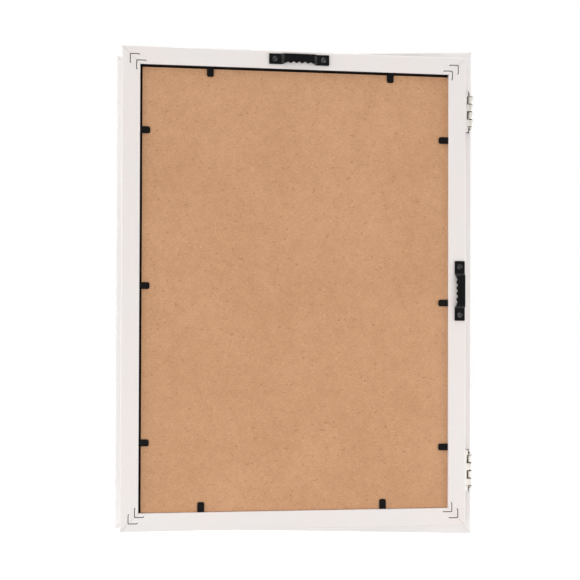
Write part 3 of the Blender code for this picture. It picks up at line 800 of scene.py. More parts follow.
def soften(item: bpy.types.Object, width: float, steps: int = 2,
           angle: float = CREASE) -> bpy.types.Object:
    """Round the sharp edges of a piece, mark the faces that are edges and keep the flats flat.

    Args:
        item: The piece.
        width: The rounding's width.
        steps: Its segments.
        angle: The least angle of an edge that is rounded, in degrees.

    Returns:
        The piece, with a plain mesh.
    """
    for polygon in item.data.polygons:
        polygon.material_index = 0
    modifier = item.modifiers.new("rounding", "BEVEL")
    modifier.width = width
    modifier.segments = steps
    modifier.limit_method = "ANGLE"
    modifier.angle_limit = math.radians(angle)
    settle(item)
    mark_edges(item, width)
    item.modifiers.new("flats", "WEIGHTED_NORMAL").keep_sharp = True
    return settle(item)


def mark_edges(item: bpy.types.Object, width: float) -> None:
    """Store which corners belong to narrow faces along an edge, and shade the piece.

    Args:
        item: The piece, with a plain mesh.
        width: The edges' width.
    """
    mesh = item.data
    shares = []
    for polygon in mesh.polygons:
        sides = [(mesh.vertices[a].co - mesh.vertices[b].co).length for a, b in polygon.edge_keys]
        share = 1.0 if min(sides) < width * NARROW else 0.0
        shares += [share] * polygon.loop_total
    layer = mesh.attributes.new("edge", "FLOAT", "CORNER")
    layer.data.foreach_set("value", shares)
    shade(mesh)


def rounded(corners: Sequence[tuple[float, float, float]], steps: int = 6) -> list[Vector]:
    """Round the corners of an outline.

    Args:
        corners: The corners as (x, y, radius).
        steps: The segments of each arc.

    Returns:
        The outline's points.
    """
    points = []
    count = len(corners)
    for index, (x, y, radius) in enumerate(corners):
        here = Vector((x, y))
        if radius <= 0.0:
            points.append(here)
            continue
        before = (Vector(corners[index - 1][:2]) - here).normalized()
        after = (Vector(corners[(index + 1) % count][:2]) - here).normalized()
        half = before.angle(after) / 2
        centre = here + (before + after).normalized() * (radius / math.sin(half))
        start = here + before * (radius / math.tan(half)) - centre
        turn = start.angle_signed(here + after * (radius / math.tan(half)) - centre)
        for step in range(steps + 1):
            spin = Matrix.Rotation(-turn * step / steps, 2)
            points.append(centre + spin @ start)
    return points


def arc(centre: tuple[float, float], radius: float, start: float, end: float,
        steps: int = 6) -> list[tuple[float, float]]:
    """Return points along an arc, with its angles in degrees."""
    angles = [math.radians(start + (end - start) * step / steps) for step in range(steps + 1)]
    return [(centre[0] + radius * math.cos(a), centre[1] + radius * math.sin(a)) for a in angles]


def crown(radius: float, height: float, base: float, steps: int = 8) -> list[tuple[float, float]]:
    """Return the profile of a round head.

    Args:
        radius: The head's radius.
        height: Its height.
        base: The level of its rim.
        steps: The segments of the profile.

    Returns:
        Points as (radius, height), from its top down to its rim.
    """
    sphere = (radius * radius + height * height) / (2 * height)
    rim = math.degrees(math.acos(radius / sphere))
    return list(reversed(arc((0.0, base + height - sphere), sphere, rim, 90.0, steps)))


def plate(name: str, outline: Iterable[Vector], holes: Sequence[tuple[float, float, float]],
          thickness: float, facets: int = 32) -> bpy.types.Object:
    """Make a flat plate from its outline and round holes.

    Args:
        name: The piece's name.
        outline: The outline's points.
        holes: Each hole as (x, y, radius).
        thickness: The plate's thickness, half to each side of its plane.
        facets: The facets of each hole.

    Returns:
        The plate as a plain mesh.
    """
    curve = bpy.data.curves.new(name, "CURVE")
    curve.dimensions = "2D"
    curve.fill_mode = "BOTH"
    curve.extrude = thickness / 2
    circles = [arc((x, y), radius, 0.0, 360.0, facets)[:-1] for x, y, radius in holes]
    for loop in (list(outline), *circles):
        spline = curve.splines.new("POLY")
        spline.points.add(len(loop) - 1)
        for point, spot in zip(spline.points, loop):
            point.co = (*spot, 0.0, 1.0)
        spline.use_cyclic_u = True
    drawn = put(f"{name}_drawing", curve)
    bpy.context.view_layer.update()
    seen = drawn.evaluated_get(bpy.context.evaluated_depsgraph_get())
    mesh = bpy.data.meshes.new_from_object(seen)
    bpy.data.objects.remove(drawn)
    bm = bmesh.new()
    bm.from_mesh(mesh)
    bmesh.ops.remove_doubles(bm, verts=bm.verts, dist=WELD)
    return put(name, to_mesh(name, bm))


def turned(name: str, profile: Sequence[tuple[float, float]], steps: int = 40) -> bpy.types.Object:
    """Turn a profile about Z.

    Args:
        name: The piece's name.
        profile: Points as (radius, height) from top to bottom, both ends on the axis.
        steps: How many times it is copied round.

    Returns:
        The closed solid as a plain mesh.
    """
    bm = bmesh.new()
    verts = [bm.verts.new((radius, 0.0, height)) for radius, height in profile]
    edges = [bm.edges.new(pair) for pair in zip(verts, verts[1:])]
    bmesh.ops.spin(bm, geom=verts + edges, axis=(0, 0, 1), cent=(0, 0, 0), angle=math.tau,
                   steps=steps)
    bmesh.ops.remove_doubles(bm, verts=bm.verts, dist=WELD)
    return put(name, to_mesh(name, bm))


def rod(name: str, radius: float, half: float, steps: int = 40) -> bpy.types.Object:
    """Return a plain rod about Z, reaching half its length up and down."""
    return turned(name, [(0.0, half), (radius, half), (radius, -half), (0.0, -half)], steps)


def spots(name: str, places: Iterable[Place], turns: Iterable[Place]) -> bpy.types.Mesh:
    """Return a mesh of loose points, each with a turn, for a tree that repeats something there.

    Args:
        name: The mesh's name.
        places: The points.
        turns: Their rotations as Euler angles.

    Returns:
        The mesh.
    """
    mesh = bpy.data.meshes.new(name)
    mesh.from_pydata(list(places), [], [])
    layer = mesh.attributes.new("turn", "FLOAT_VECTOR", "POINT")
    for datum, turn in zip(layer.data, turns):
        datum.vector = turn
    return mesh


def repeat(name: str, item: bpy.types.Object, places: Sequence[Place], turns: Sequence[Place],
           finish: Finish) -> bpy.types.Object:
    """Repeat one piece at several places.

    Args:
        name: The name of the piece that holds all the copies.
        item: What is repeated, modelled at the origin. It is used up.
        places: Where the copies go.
        turns: The copies' rotations.
        finish: Their finish.

    Returns:
        One object with every copy.
    """
    recipe = Recipe(f"repeat_{name}")
    source = recipe.add("GeometryNodeObjectInfo", {"Object": recipe.size("Item", item)})
    turn = recipe.add("GeometryNodeInputNamedAttribute", {"Name": "turn"}, data_type="FLOAT_VECTOR")
    feeds = {"Points": recipe.base, "Instance": source.outputs["Geometry"],
             "Rotation": turn.outputs[0]}
    copies = recipe.add("GeometryNodeInstanceOnPoints", feeds).outputs[0]
    recipe.end(copies, finish.material)
    made = recipe.grow(name, spots(name, places, turns))
    bpy.data.objects.remove(item)
    return made


def dress(piece: bpy.types.Object, finish: Finish, body: Body, *nodes: str) -> None:
    """Finish a piece and hang it on its body.

    Args:
        piece: The piece, in place.
        finish: Its finish.
        body: The body that carries it.
        nodes: The solids that it stands for.
    """
    piece.data.materials.clear()
    piece.data.materials.append(finish.material)
    for polygon in piece.data.polygons:
        polygon.material_index = 0
    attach(piece, body.value)
    if nodes:
        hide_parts(*nodes)
    LOG.info("%s: %d faces on %s, for %d solids",
             piece.name, len(piece.data.polygons), body.value, len(nodes))


class Swing:
    """The door's hinge axis and how far the door stands open at rest."""

    def __init__(self) -> None:
        """Read the joint."""
        joint = frame["joints"][0]
        self.axis = Vector(joint["pos_m"])
        turn = Matrix.Rotation(math.radians(-joint["range_deg"][0]), 4, Vector(joint["axis"]))
        self.rest = Matrix.Translation(self.axis) @ turn @ Matrix.Translation(-self.axis)
        self.closed = self.rest.inverted()

    def measure(self, body: Body, *nodes: str) -> tuple[Vector, Vector]:
        """Measure some solids of one body as they are on the closed frame.

        Args:
            body: The body that carries them.
            nodes: The solids' names.

        Returns:
            Their lowest and highest corner.
        """
        view = self.closed if body is Body.DOOR else Matrix.Identity(4)
        points = [view @ vertex.co for node in nodes
                  for vertex in frame["nodes"][node].data.vertices]
        low = Vector([min(point[axis] for point in points) for axis in range(3)])
        high = Vector([max(point[axis] for point in points) for axis in range(3)])
        return low, high

    def hang(self, piece: bpy.types.Object, finish: Finish, body: Body, *nodes: str) -> None:
        """Dress a piece that was modelled on the closed frame, once it is where its body rests.

        Args:
            piece: The piece.
            finish: Its finish.
            body: The body that carries it.
            nodes: The solids that it stands for.
        """
        if body is Body.DOOR:
            piece.data.transform(self.rest)
        dress(piece, finish, body, *nodes)


@dataclass
class Frame:
    """A mitred frame of four mouldings: the box or the door."""

    body: Body
    finish: Finish
    swing: Swing
    back_width: float
    ledge: float
    rebate: float
    back_round: float
    front_round: float
    inner_round: float = 0.0004
    seam: float = 0.00008
    softness: float = 0.00018

    def __post_init__(self) -> None:
        """Measure the frame's solids."""
        self.nodes = [f"{self.body.value}_rail_{side.label}" for side in Side]
        low, high = self.swing.measure(self.body, *self.nodes)
        self.centre = Vector(((low.x + high.x) / 2, 0.0, (low.z + high.z) / 2))
        self.width = high.x - low.x
        self.height = high.z - low.z
        self.back = high.y
        self.front = low.y

    def spans(self, side: Side) -> Span:
        """Return the frame's length along a side, and across it."""
        return (self.width, self.height) if side.level else (self.height, self.width)

    def section(self) -> list[Vector]:
        """Draw the moulding's section.

        Returns:
            Points as distance in from the outer edge, and depth.
        """
        inner = self.back_width + self.ledge
        step = self.back - self.rebate
        return rounded([
            (0.0, self.back, self.back_round),
            (self.back_width, self.back, self.inner_round),
            (self.back_width, step, 0.0),
            (inner, step, self.inner_round),
            (inner, self.front, self.front_round),
            (0.0, self.front, self.front_round),
        ])

    def recipe(self, side: Side) -> Recipe:
        """Return the tree that sweeps the section along one side and mitres its ends.

        Args:
            side: The side.

        Returns:
            The tree.
        """
        along, across = self.spans(side)
        recipe = Recipe(f"mitred_{self.body.value}_{side.label}")
        length = recipe.size("Half Length", along / 2)
        half = recipe.math("SUBTRACT", length, recipe.size("Seam", self.seam))
        out = recipe.size("Half Across", across / 2)
        solid = recipe.prism(recipe.base, recipe.vector(1.0))
        end, y, z = recipe.position()
        sign = recipe.math("MULTIPLY_ADD", end, 2.0, -1.0)
        reach = recipe.math("MULTIPLY", sign, recipe.math("ADD", half, z))
        place = recipe.vector(reach, y, recipe.math("ADD", z, out))
        mitred = recipe.add("GeometryNodeSetPosition", {"Geometry": solid, "Position": place})
        turn = recipe.vector(y=recipe.size("Turn", side.turn))
        feeds = {"Geometry": mitred.outputs[0], "Rotation": turn, "Translation": tuple(self.centre)}
        placed = recipe.add("GeometryNodeTransform", feeds)
        return recipe.end(placed.outputs[0], self.finish.material)

    def build_rails(self, recesses: dict[Side, Sequence[bpy.types.Object]]) -> None:
        """Make the four mouldings.

        Args:
            recesses: What is cut out of the moulding on a side. It is used up.
        """
        for side, node in zip(Side, self.nodes):
            mesh = bpy.data.meshes.new(node)
            with editing(mesh) as bm:
                bm.faces.new([bm.verts.new((0.0, y, -inward)) for inward, y in self.section()])
            rail = self.recipe(side).grow(f"{node}_moulding", mesh)
            rail = soften(carve(rail, recesses.get(side, ())), self.softness)
            self.swing.hang(rail, self.finish, self.body, node)


@dataclass
class VNails:
    """Bent steel nails pressed across a frame's mitres."""

    host: Frame
    prefix: str
    insets: dict[str, float]
    thickness: float = 0.00080
    depth: float = 0.0060
    leg: float = 0.0088
    curl: float = 0.0008
    curl_steps: int = 5
    proud: float = 0.00006
    softness: float = 0.00006

    def path(self, corner: Corner, inset: float) -> list[tuple[float, float]]:
        """Draw one nail on the back face: two legs from a vertex, each with a curled tip.

        Args:
            corner: The corner that the nail holds.
            inset: How far in its vertex lies from both outer edges.

        Returns:
            Points as (x, z).
        """
        _, sign_x, sign_z = corner.value
        x = self.host.centre.x + sign_x * (self.host.width / 2 - inset)
        z = self.host.centre.z + sign_z * (self.host.height / 2 - inset)
        leg = [(0.0, 0.0), (self.leg - self.curl, 0.0), (self.leg, self.curl)]
        first = [(x - sign_x * a, z - sign_z * b) for a, b in leg]
        second = [(x - sign_x * b, z - sign_z * a) for a, b in leg]
        return second[:0:-1] + first

    def recipe(self) -> Recipe:
        """Plan how paths in the XY plane become strips that stand on edge.

        Returns:
            The tree.
        """
        recipe = Recipe(f"{self.prefix}_strips")
        curve = recipe.add("GeometryNodeMeshToCurve", {0: recipe.base}).outputs[0]
        level = recipe.add("GeometryNodeSetCurveNormal", {0: curve}, mode="Z_UP").outputs[0]
        bend = recipe.size("Bend Radius", self.curl)
        feeds = {"Curve": level, "Radius": bend, "Count": self.curl_steps}
        bent = recipe.add("GeometryNodeFilletCurve", feeds, mode="POLY").outputs[0]
        feeds = {"Width": recipe.size("Thickness", self.thickness),
                 "Height": recipe.size("Depth", self.depth)}
        section = recipe.add("GeometryNodeCurvePrimitiveQuadrilateral", feeds).outputs[0]
        feeds = {"Curve": bent, "Profile Curve": section, "Fill Caps": True}
        strip = recipe.add("GeometryNodeCurveToMesh", feeds).outputs[0]
        drop = self.host.back + self.proud - self.depth / 2
        feeds = {"Geometry": strip, "Rotation": (QUARTER, 0.0, 0.0),
                 "Translation": (0.0, drop, 0.0)}
        stood = recipe.add("GeometryNodeTransform", feeds).outputs[0]
        return recipe.end(stood, Finish.STEEL.material)

    def build(self) -> None:
        """Make all the nails of the frame as one piece."""
        mesh = bpy.data.meshes.new(self.prefix)
        nodes = []
        with editing(mesh) as bm:
            for corner in Corner:
                for label, inset in self.insets.items():
                    verts = [bm.verts.new((x, z, 0.0)) for x, z in self.path(corner, inset)]
                    for pair in zip(verts, verts[1:]):
                        bm.edges.new(pair)
                    nodes.append(f"{self.prefix}_{corner.value[0]}{label}")
        nails = soften(self.recipe().grow(f"{self.prefix}s", mesh), self.softness, 1)
        self.host.swing.hang(nails, Finish.STEEL, self.host.body, *nodes)


@dataclass
class Points:
    """Flat spring-steel points pressed into a frame's rebate to hold a sheet."""

    host: Frame
    prefix: str
    width: float = 0.0065
    thickness: float = 0.0005
    exposed: float = 0.0095
    buried: float = 0.0040
    corner: float = 0.0019
    lift: float = 0.0002
    blunt_share: float = 0.02
    rows: int = 4
    tip_rows: int = 8
    columns: int = 4
    softness: float = 0.00008

    def blank(self) -> bpy.types.Object:
        """Make one point as on the top side: root up, rounded end down, slightly sprung.

        Returns:
            The point, with its back face at the origin's depth and its root's wall at the origin.
        """
        straight = self.exposed - self.corner
        stations = [self.buried] + [-straight * row / self.rows for row in range(self.rows)]
        stations += [-straight - self.corner * math.sin(QUARTER * row / self.tip_rows)
                     for row in range(self.tip_rows + 1)]
        shares = [2 * column / self.columns - 1 for column in range(self.columns + 1)]
        bm = bmesh.new()
        rows = []
        for z in stations:
            over = max(0.0, -straight - z)
            half = math.sqrt(max(0.0, self.corner ** 2 - over ** 2)) + self.width / 2 - self.corner
            half = max(half, self.width * self.blunt_share)
            bow = -self.lift * max(0.0, -z / self.exposed) ** 2
            rows.append([bm.verts.new((half * share, bow, z)) for share in shares])
        for upper, lower in zip(rows, rows[1:]):
            for index in range(self.columns):
                bm.faces.new((upper[index], upper[index + 1], lower[index + 1], lower[index]))
        bmesh.ops.recalc_face_normals(bm, faces=bm.faces)
        bmesh.ops.solidify(bm, geom=bm.faces[:], thickness=self.thickness)
        blank = put(f"{self.prefix}_blank", to_mesh(self.prefix, bm))
        low = min(vertex.co.y for vertex in blank.data.vertices)
        blank.data.transform(Matrix.Translation((0.0, -low - self.thickness, 0.0)))
        return soften(blank, self.softness)

    def build(self) -> None:
        """Make the frame's points as one piece, each where its solid is."""
        nodes = sorted(node for node in frame["nodes"] if node.startswith(f"{self.prefix}_"))
        places, turns = [], []
        for node in nodes:
            side = next(side for side in Side if f"_{side.label}" in node)
            low, high = self.host.swing.measure(self.host.body, node)
            edge = self.host.spans(side)[1] / 2 - self.host.back_width
            spin = Matrix.Rotation(side.turn, 3, "Y")
            along = (spin.inverted() @ ((low + high) / 2 - self.host.centre)).x
            places.append(self.host.centre + spin @ Vector((along, high.y, edge)))
            turns.append((0.0, side.turn, 0.0))
        piece = repeat(f"{self.prefix}s", self.blank(), places, turns, Finish.SPRING)
        shade(piece.data)
        self.host.swing.hang(piece, Finish.SPRING, self.host.body, *nodes)


@dataclass
class Sheets:
    """The flat sheets: fibreboard panel, black card, photo sheet and clear sheet."""

    swing: Swing
    # Black strips turned up from the card along the rebate's walls, as painted shade in the gap.
    fold_gap: float = 0.0001
    fold_thickness: float = 0.00015
    fold_drops: tuple[float, float] = (0.0007, 0.0030)
    rest_side: float = 0.0003
    rest_down: float = 0.0002
    saw_wander: float = 0.00012
    saw_waves: float = 90.0
    panel_step: float = 0.006
    panel_edge: float = 0.00025
    card_edge: float = 0.00005
    clear_edge: float = 0.0002

    def build_panel(self) -> None:
        """Make the fibreboard panel, low in its rebate, with edges that wander as the saw did."""
        rest = Vector((self.rest_side, 0.0, self.rest_down))
        low, high = (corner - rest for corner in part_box("backing_panel"))
        middle = (low + high) / 2
        panel = slab("fibreboard_panel", low, high)
        with editing(panel.data) as bm:
            for axis in (0, 2):
                count = int((high[axis] - low[axis]) / self.panel_step)
                normal = Vector((0.0, 0.0, 0.0))
                normal[axis] = 1.0
                for index in range(1, count):
                    spot = normal * (low[axis] + (high[axis] - low[axis]) * index / count)
                    everything = bm.verts[:] + bm.edges[:] + bm.faces[:]
                    bmesh.ops.bisect_plane(bm, geom=everything, plane_co=spot, plane_no=normal,
                                           dist=WELD)
            for vertex in bm.verts:
                for axis in (0, 2):
                    place = vertex.co[axis]
                    if min(abs(place - low[axis]), abs(place - high[axis])) < WELD:
                        wander = (1.0 + noise.noise(vertex.co * self.saw_waves)) / 2
                        inward = 1 if place < middle[axis] else -1
                        vertex.co[axis] += self.saw_wander * wander * inward
        dress(soften(panel, self.panel_edge), Finish.FIBREBOARD, Body.BOX, "backing_panel")

    def build_card(self, box: Frame) -> None:
        """Make the black card, with black strips turned up along the rebate's walls that stand in
        for the shade in the gap round the panel: painted shade.

        Args:
            box: The frame whose rebate it lines.
        """
        low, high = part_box("backing_card")
        bm = bmesh.new()
        add_block(bm, low, high)
        for side in Side:
            # The strips reach nearer the back on the top and free sides, where the gap is seen
            # black.
            drop = self.fold_drops[0 if side in (Side.TOP, Side.FREE) else 1]
            along, out = (length / 2 - box.back_width - self.fold_gap for length in box.spans(side))
            add_block(bm, Vector((-along, low.y, out - self.fold_thickness)),
                      Vector((along, box.back - drop, out)),
                      Matrix.Translation(box.centre) @ Matrix.Rotation(side.turn, 4, "Y"))
        shade_lined_card = put("backing_card_folded", to_mesh("backing_card", bm))
        dress(soften(shade_lined_card, self.card_edge, 1), Finish.CARD, Body.BOX, "backing_card")

    def build_clear(self) -> None:
        """Make the clear sheet with softly polished edges."""
        low, high = self.swing.measure(Body.DOOR, "glazing")
        sheet = soften(slab("clear_sheet_panel", low, high), self.clear_edge)
        self.swing.hang(sheet, Finish.CLEAR, Body.DOOR, "glazing")

    def build(self, box: Frame) -> None:
        """Make the sheets, and give the photo sheet its finish.

        Args:
            box: The frame that holds the panel.
        """
        self.build_panel()
        self.build_card(box)
        self.build_clear()
        paint("photo_sheet", Finish.PAPER)


def paint(node: str, finish: Finish) -> None:
    """Give a carried-over solid its finish.

    Args:
        node: The solid's name.
        finish: Its finish.
    """
    item = frame["nodes"][node]
    item.data.materials.clear()
    item.data.materials.append(finish.material)
    LOG.info("%s: kept, finished as %s", node, finish.slot)


@dataclass
class Hanger:
    """A sawtooth hanger: a strip bowed away from the rail between its nailed ends."""

    side: Side
    node: str
    length: float = 0.0580
    width: float = 0.0100
    thickness: float = 0.0008
    foot: float = 0.0120
    ramp: float = 0.0024
    rise: float = 0.0016
    corner: float = 0.0008
    pitch: float = 0.0054
    tooth: float = 0.0017
    end_share: float = 0.65
    notches: int = 5
    tip: float = 0.0005
    tip_inset: float = 0.0011
    taper: float = 0.0025
    columns: int = 291
    rows: int = 6
    # Faces this steep along the strip take a painted highlight.
    slope: Span = (0.2, 0.9)
    softness: float = 0.00012
    head_radius: float = 0.0025
    head_height: float = 0.0009
    head_top_share: float = 0.68
    brim_share: float = 0.35
    brim_top: float = 1.3
    brim_wall: float = 0.6

    def recipe(self) -> Recipe:
        """Plan how a grid becomes the strip, as it lies on the top side.

        Returns:
            The tree.
        """
        make = Recipe(f"{self.node}_strip")
        length = make.size("Length", self.length)
        half_length = make.math("DIVIDE", length, 2.0)
        half_width = make.math("DIVIDE", make.size("Width", self.width), 2.0)
        corner = make.size("Corner Radius", self.corner)
        pitch = make.size("Tooth Pitch", self.pitch)
        tooth = make.size("Tooth Depth", self.tooth)
        foot = make.math("SUBTRACT", half_length, make.size("Foot", self.foot))
        feeds = {"Size X": length, "Size Y": 1.0, "Vertices X": self.columns,
                 "Vertices Y": self.rows}
        grid = make.add("GeometryNodeMeshGrid", feeds).outputs[0]
        x, share, _ = make.position()
        far = make.math("ABSOLUTE", x)
        past = make.math("ADD", make.math("SUBTRACT", far, half_length), corner)
        over = make.math("MAXIMUM", past, 0.0)
        inside = make.math("SUBTRACT", make.math("MULTIPLY", corner, corner),
                           make.math("MULTIPLY", over, over))
        cut = make.math("SUBTRACT", corner, make.math("SQRT", make.math("MAXIMUM", inside, 0.0)))
        edge = make.math("SUBTRACT", half_width, cut)
        span = make.math("MULTIPLY", pitch, self.notches / 2)
        half_pitch = make.math("DIVIDE", pitch, 2.0)
        flank = make.math("SUBTRACT", half_pitch, make.size("Half Tip", self.tip / 2))
        wave = make.math("DIVIDE", make.math("PINGPONG", far, half_pitch), flank)
        last = make.math("GREATER_THAN", far, make.math("SUBTRACT", span, pitch))
        end_share = make.size("End Notch Share", self.end_share)
        depth = make.math("MULTIPLY", tooth, make.spread(last, WHOLE, (1.0, end_share)))
        teeth = make.math("MAXIMUM", make.math("SUBTRACT", 1.0, wave), 0.0)
        notch = make.math("MULTIPLY", make.math("MULTIPLY", depth, teeth),
                          make.math("LESS_THAN", far, span))
        tapered = make.math("ADD", span, make.size("Taper", self.taper))
        inset = make.spread(far, (span, tapered), (make.size("Tip Inset", self.tip_inset), 0.0))
        tapering = make.math("ADD", make.math("MULTIPLY", edge, -1.0), inset)
        low = make.math("ADD", tapering, notch)
        tall = make.math("SUBTRACT", edge, low)
        z = make.math("MULTIPLY_ADD", tall, make.math("ADD", share, 0.5), low)
        start = make.math("SUBTRACT", foot, make.size("Ramp", self.ramp))
        lift = make.spread(far, (start, foot), (make.size("Rise", self.rise), 0.0))
        feeds = {"Geometry": grid, "Position": make.vector(x, lift, z)}
        strip = make.add("GeometryNodeSetPosition", feeds).outputs[0]
        return make.end(strip, Finish.BLACKENED.material)

    def build(self) -> None:
        """Make the strip and its nails."""
        low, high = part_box(self.node)
        middle = (low + high) / 2
        spin = Matrix.Rotation(self.side.turn, 4, "Y")
        strip = self.recipe().grow(f"{self.node}_strip", bpy.data.meshes.new(self.node))
        solid = strip.modifiers.new("thickness", "SOLIDIFY")
        solid.thickness = self.thickness
        solid.offset = 0.0
        settle(strip)
        with editing(strip.data) as bm:
            bmesh.ops.remove_doubles(bm, verts=bm.verts, dist=WELD)
            bmesh.ops.recalc_face_normals(bm, faces=bm.faces)
        place = Matrix.Translation((middle.x, low.y + self.thickness / 2, middle.z)) @ spin
        strip.data.transform(place)
        soften(strip, self.softness)
        # Faces on the sloping ramps take the lighter edge tone as a painted highlight.
        run = (spin @ Vector((1.0, 0.0, 0.0, 0.0))).xyz
        rubbed = strip.data.attributes["edge"].data
        for polygon in strip.data.polygons:
            if self.slope[0] < abs(polygon.normal.dot(run)) < self.slope[1]:
                for corner in polygon.loop_indices:
                    rubbed[corner].value = 1.0
        dress(strip, Finish.BLACKENED, Body.BOX, self.node)
        self.build_nails(low.y + self.thickness)

    def build_nails(self, seat: float) -> None:
        """Make the two nails, heads on the strip.

        Args:
            seat: The depth of the strip's outer face.
        """
        nodes = [f"{self.node}_nail_{number}" for number in (1, 2)]
        brim = self.head_height * self.brim_share
        profile = crown(self.head_radius * self.head_top_share, self.head_height - brim, brim)
        profile += [(self.head_radius - brim, brim * self.brim_top),
                    (self.head_radius, brim * self.brim_wall), (self.head_radius, 0.0), (0.0, 0.0)]
        head = turned(f"{self.node}_head", profile)
        mark_edges(head, brim * CHAMFER_FACE)
        places = []
        for node in nodes:
            low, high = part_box(node)
            places.append(((low.x + high.x) / 2, seat, (low.z + high.z) / 2))
        turns = [(-QUARTER, 0.0, 0.0)] * len(nodes)
        nails = repeat(f"{self.node}_nails", head, places, turns, Finish.NAIL)
        dress(nails, Finish.NAIL, Body.BOX, *nodes)


@dataclass(frozen=True)
class Screw:
    """The head of a countersunk screw with a cross recess. Levels are depths below its rim."""

    radius: float = 0.0026
    dish: float = 0.00012
    dish_share: float = 0.6
    rim_share: float = 0.93
    bevel: float = 0.00008
    neck_share: float = 0.5
    neck: float = 0.0010
    tip: float = 0.0022
    slot_share: float = 0.58
    slot_half: float = 0.00028
    slot_depth: float = 0.0009
    softness: float = 0.00005
    crease: float = 45.0

    def make(self, name: str) -> bpy.types.Object:
        """Make the head, its rim at the origin and facing Z.

        Args:
            name: Its name.

        Returns:
            The head.
        """
        head = turned(name, [
            (0.0, -self.dish),
            (self.radius * self.dish_share, -self.dish / 2),
            (self.radius * self.rim_share, 0.0),
            (self.radius, -self.bevel),
            (self.radius * self.neck_share, -self.neck),
            (0.0, -self.tip),
        ])
        # The cross recess's faces are painted dark as shade.
        arm = Vector((self.radius * self.slot_share, self.slot_half, self.slot_depth))
        carve(head, [slab("slot_along", -arm, arm), slab("slot_across", -arm.yxz, arm.yxz)])
        return soften(head, self.softness, 1, self.crease)


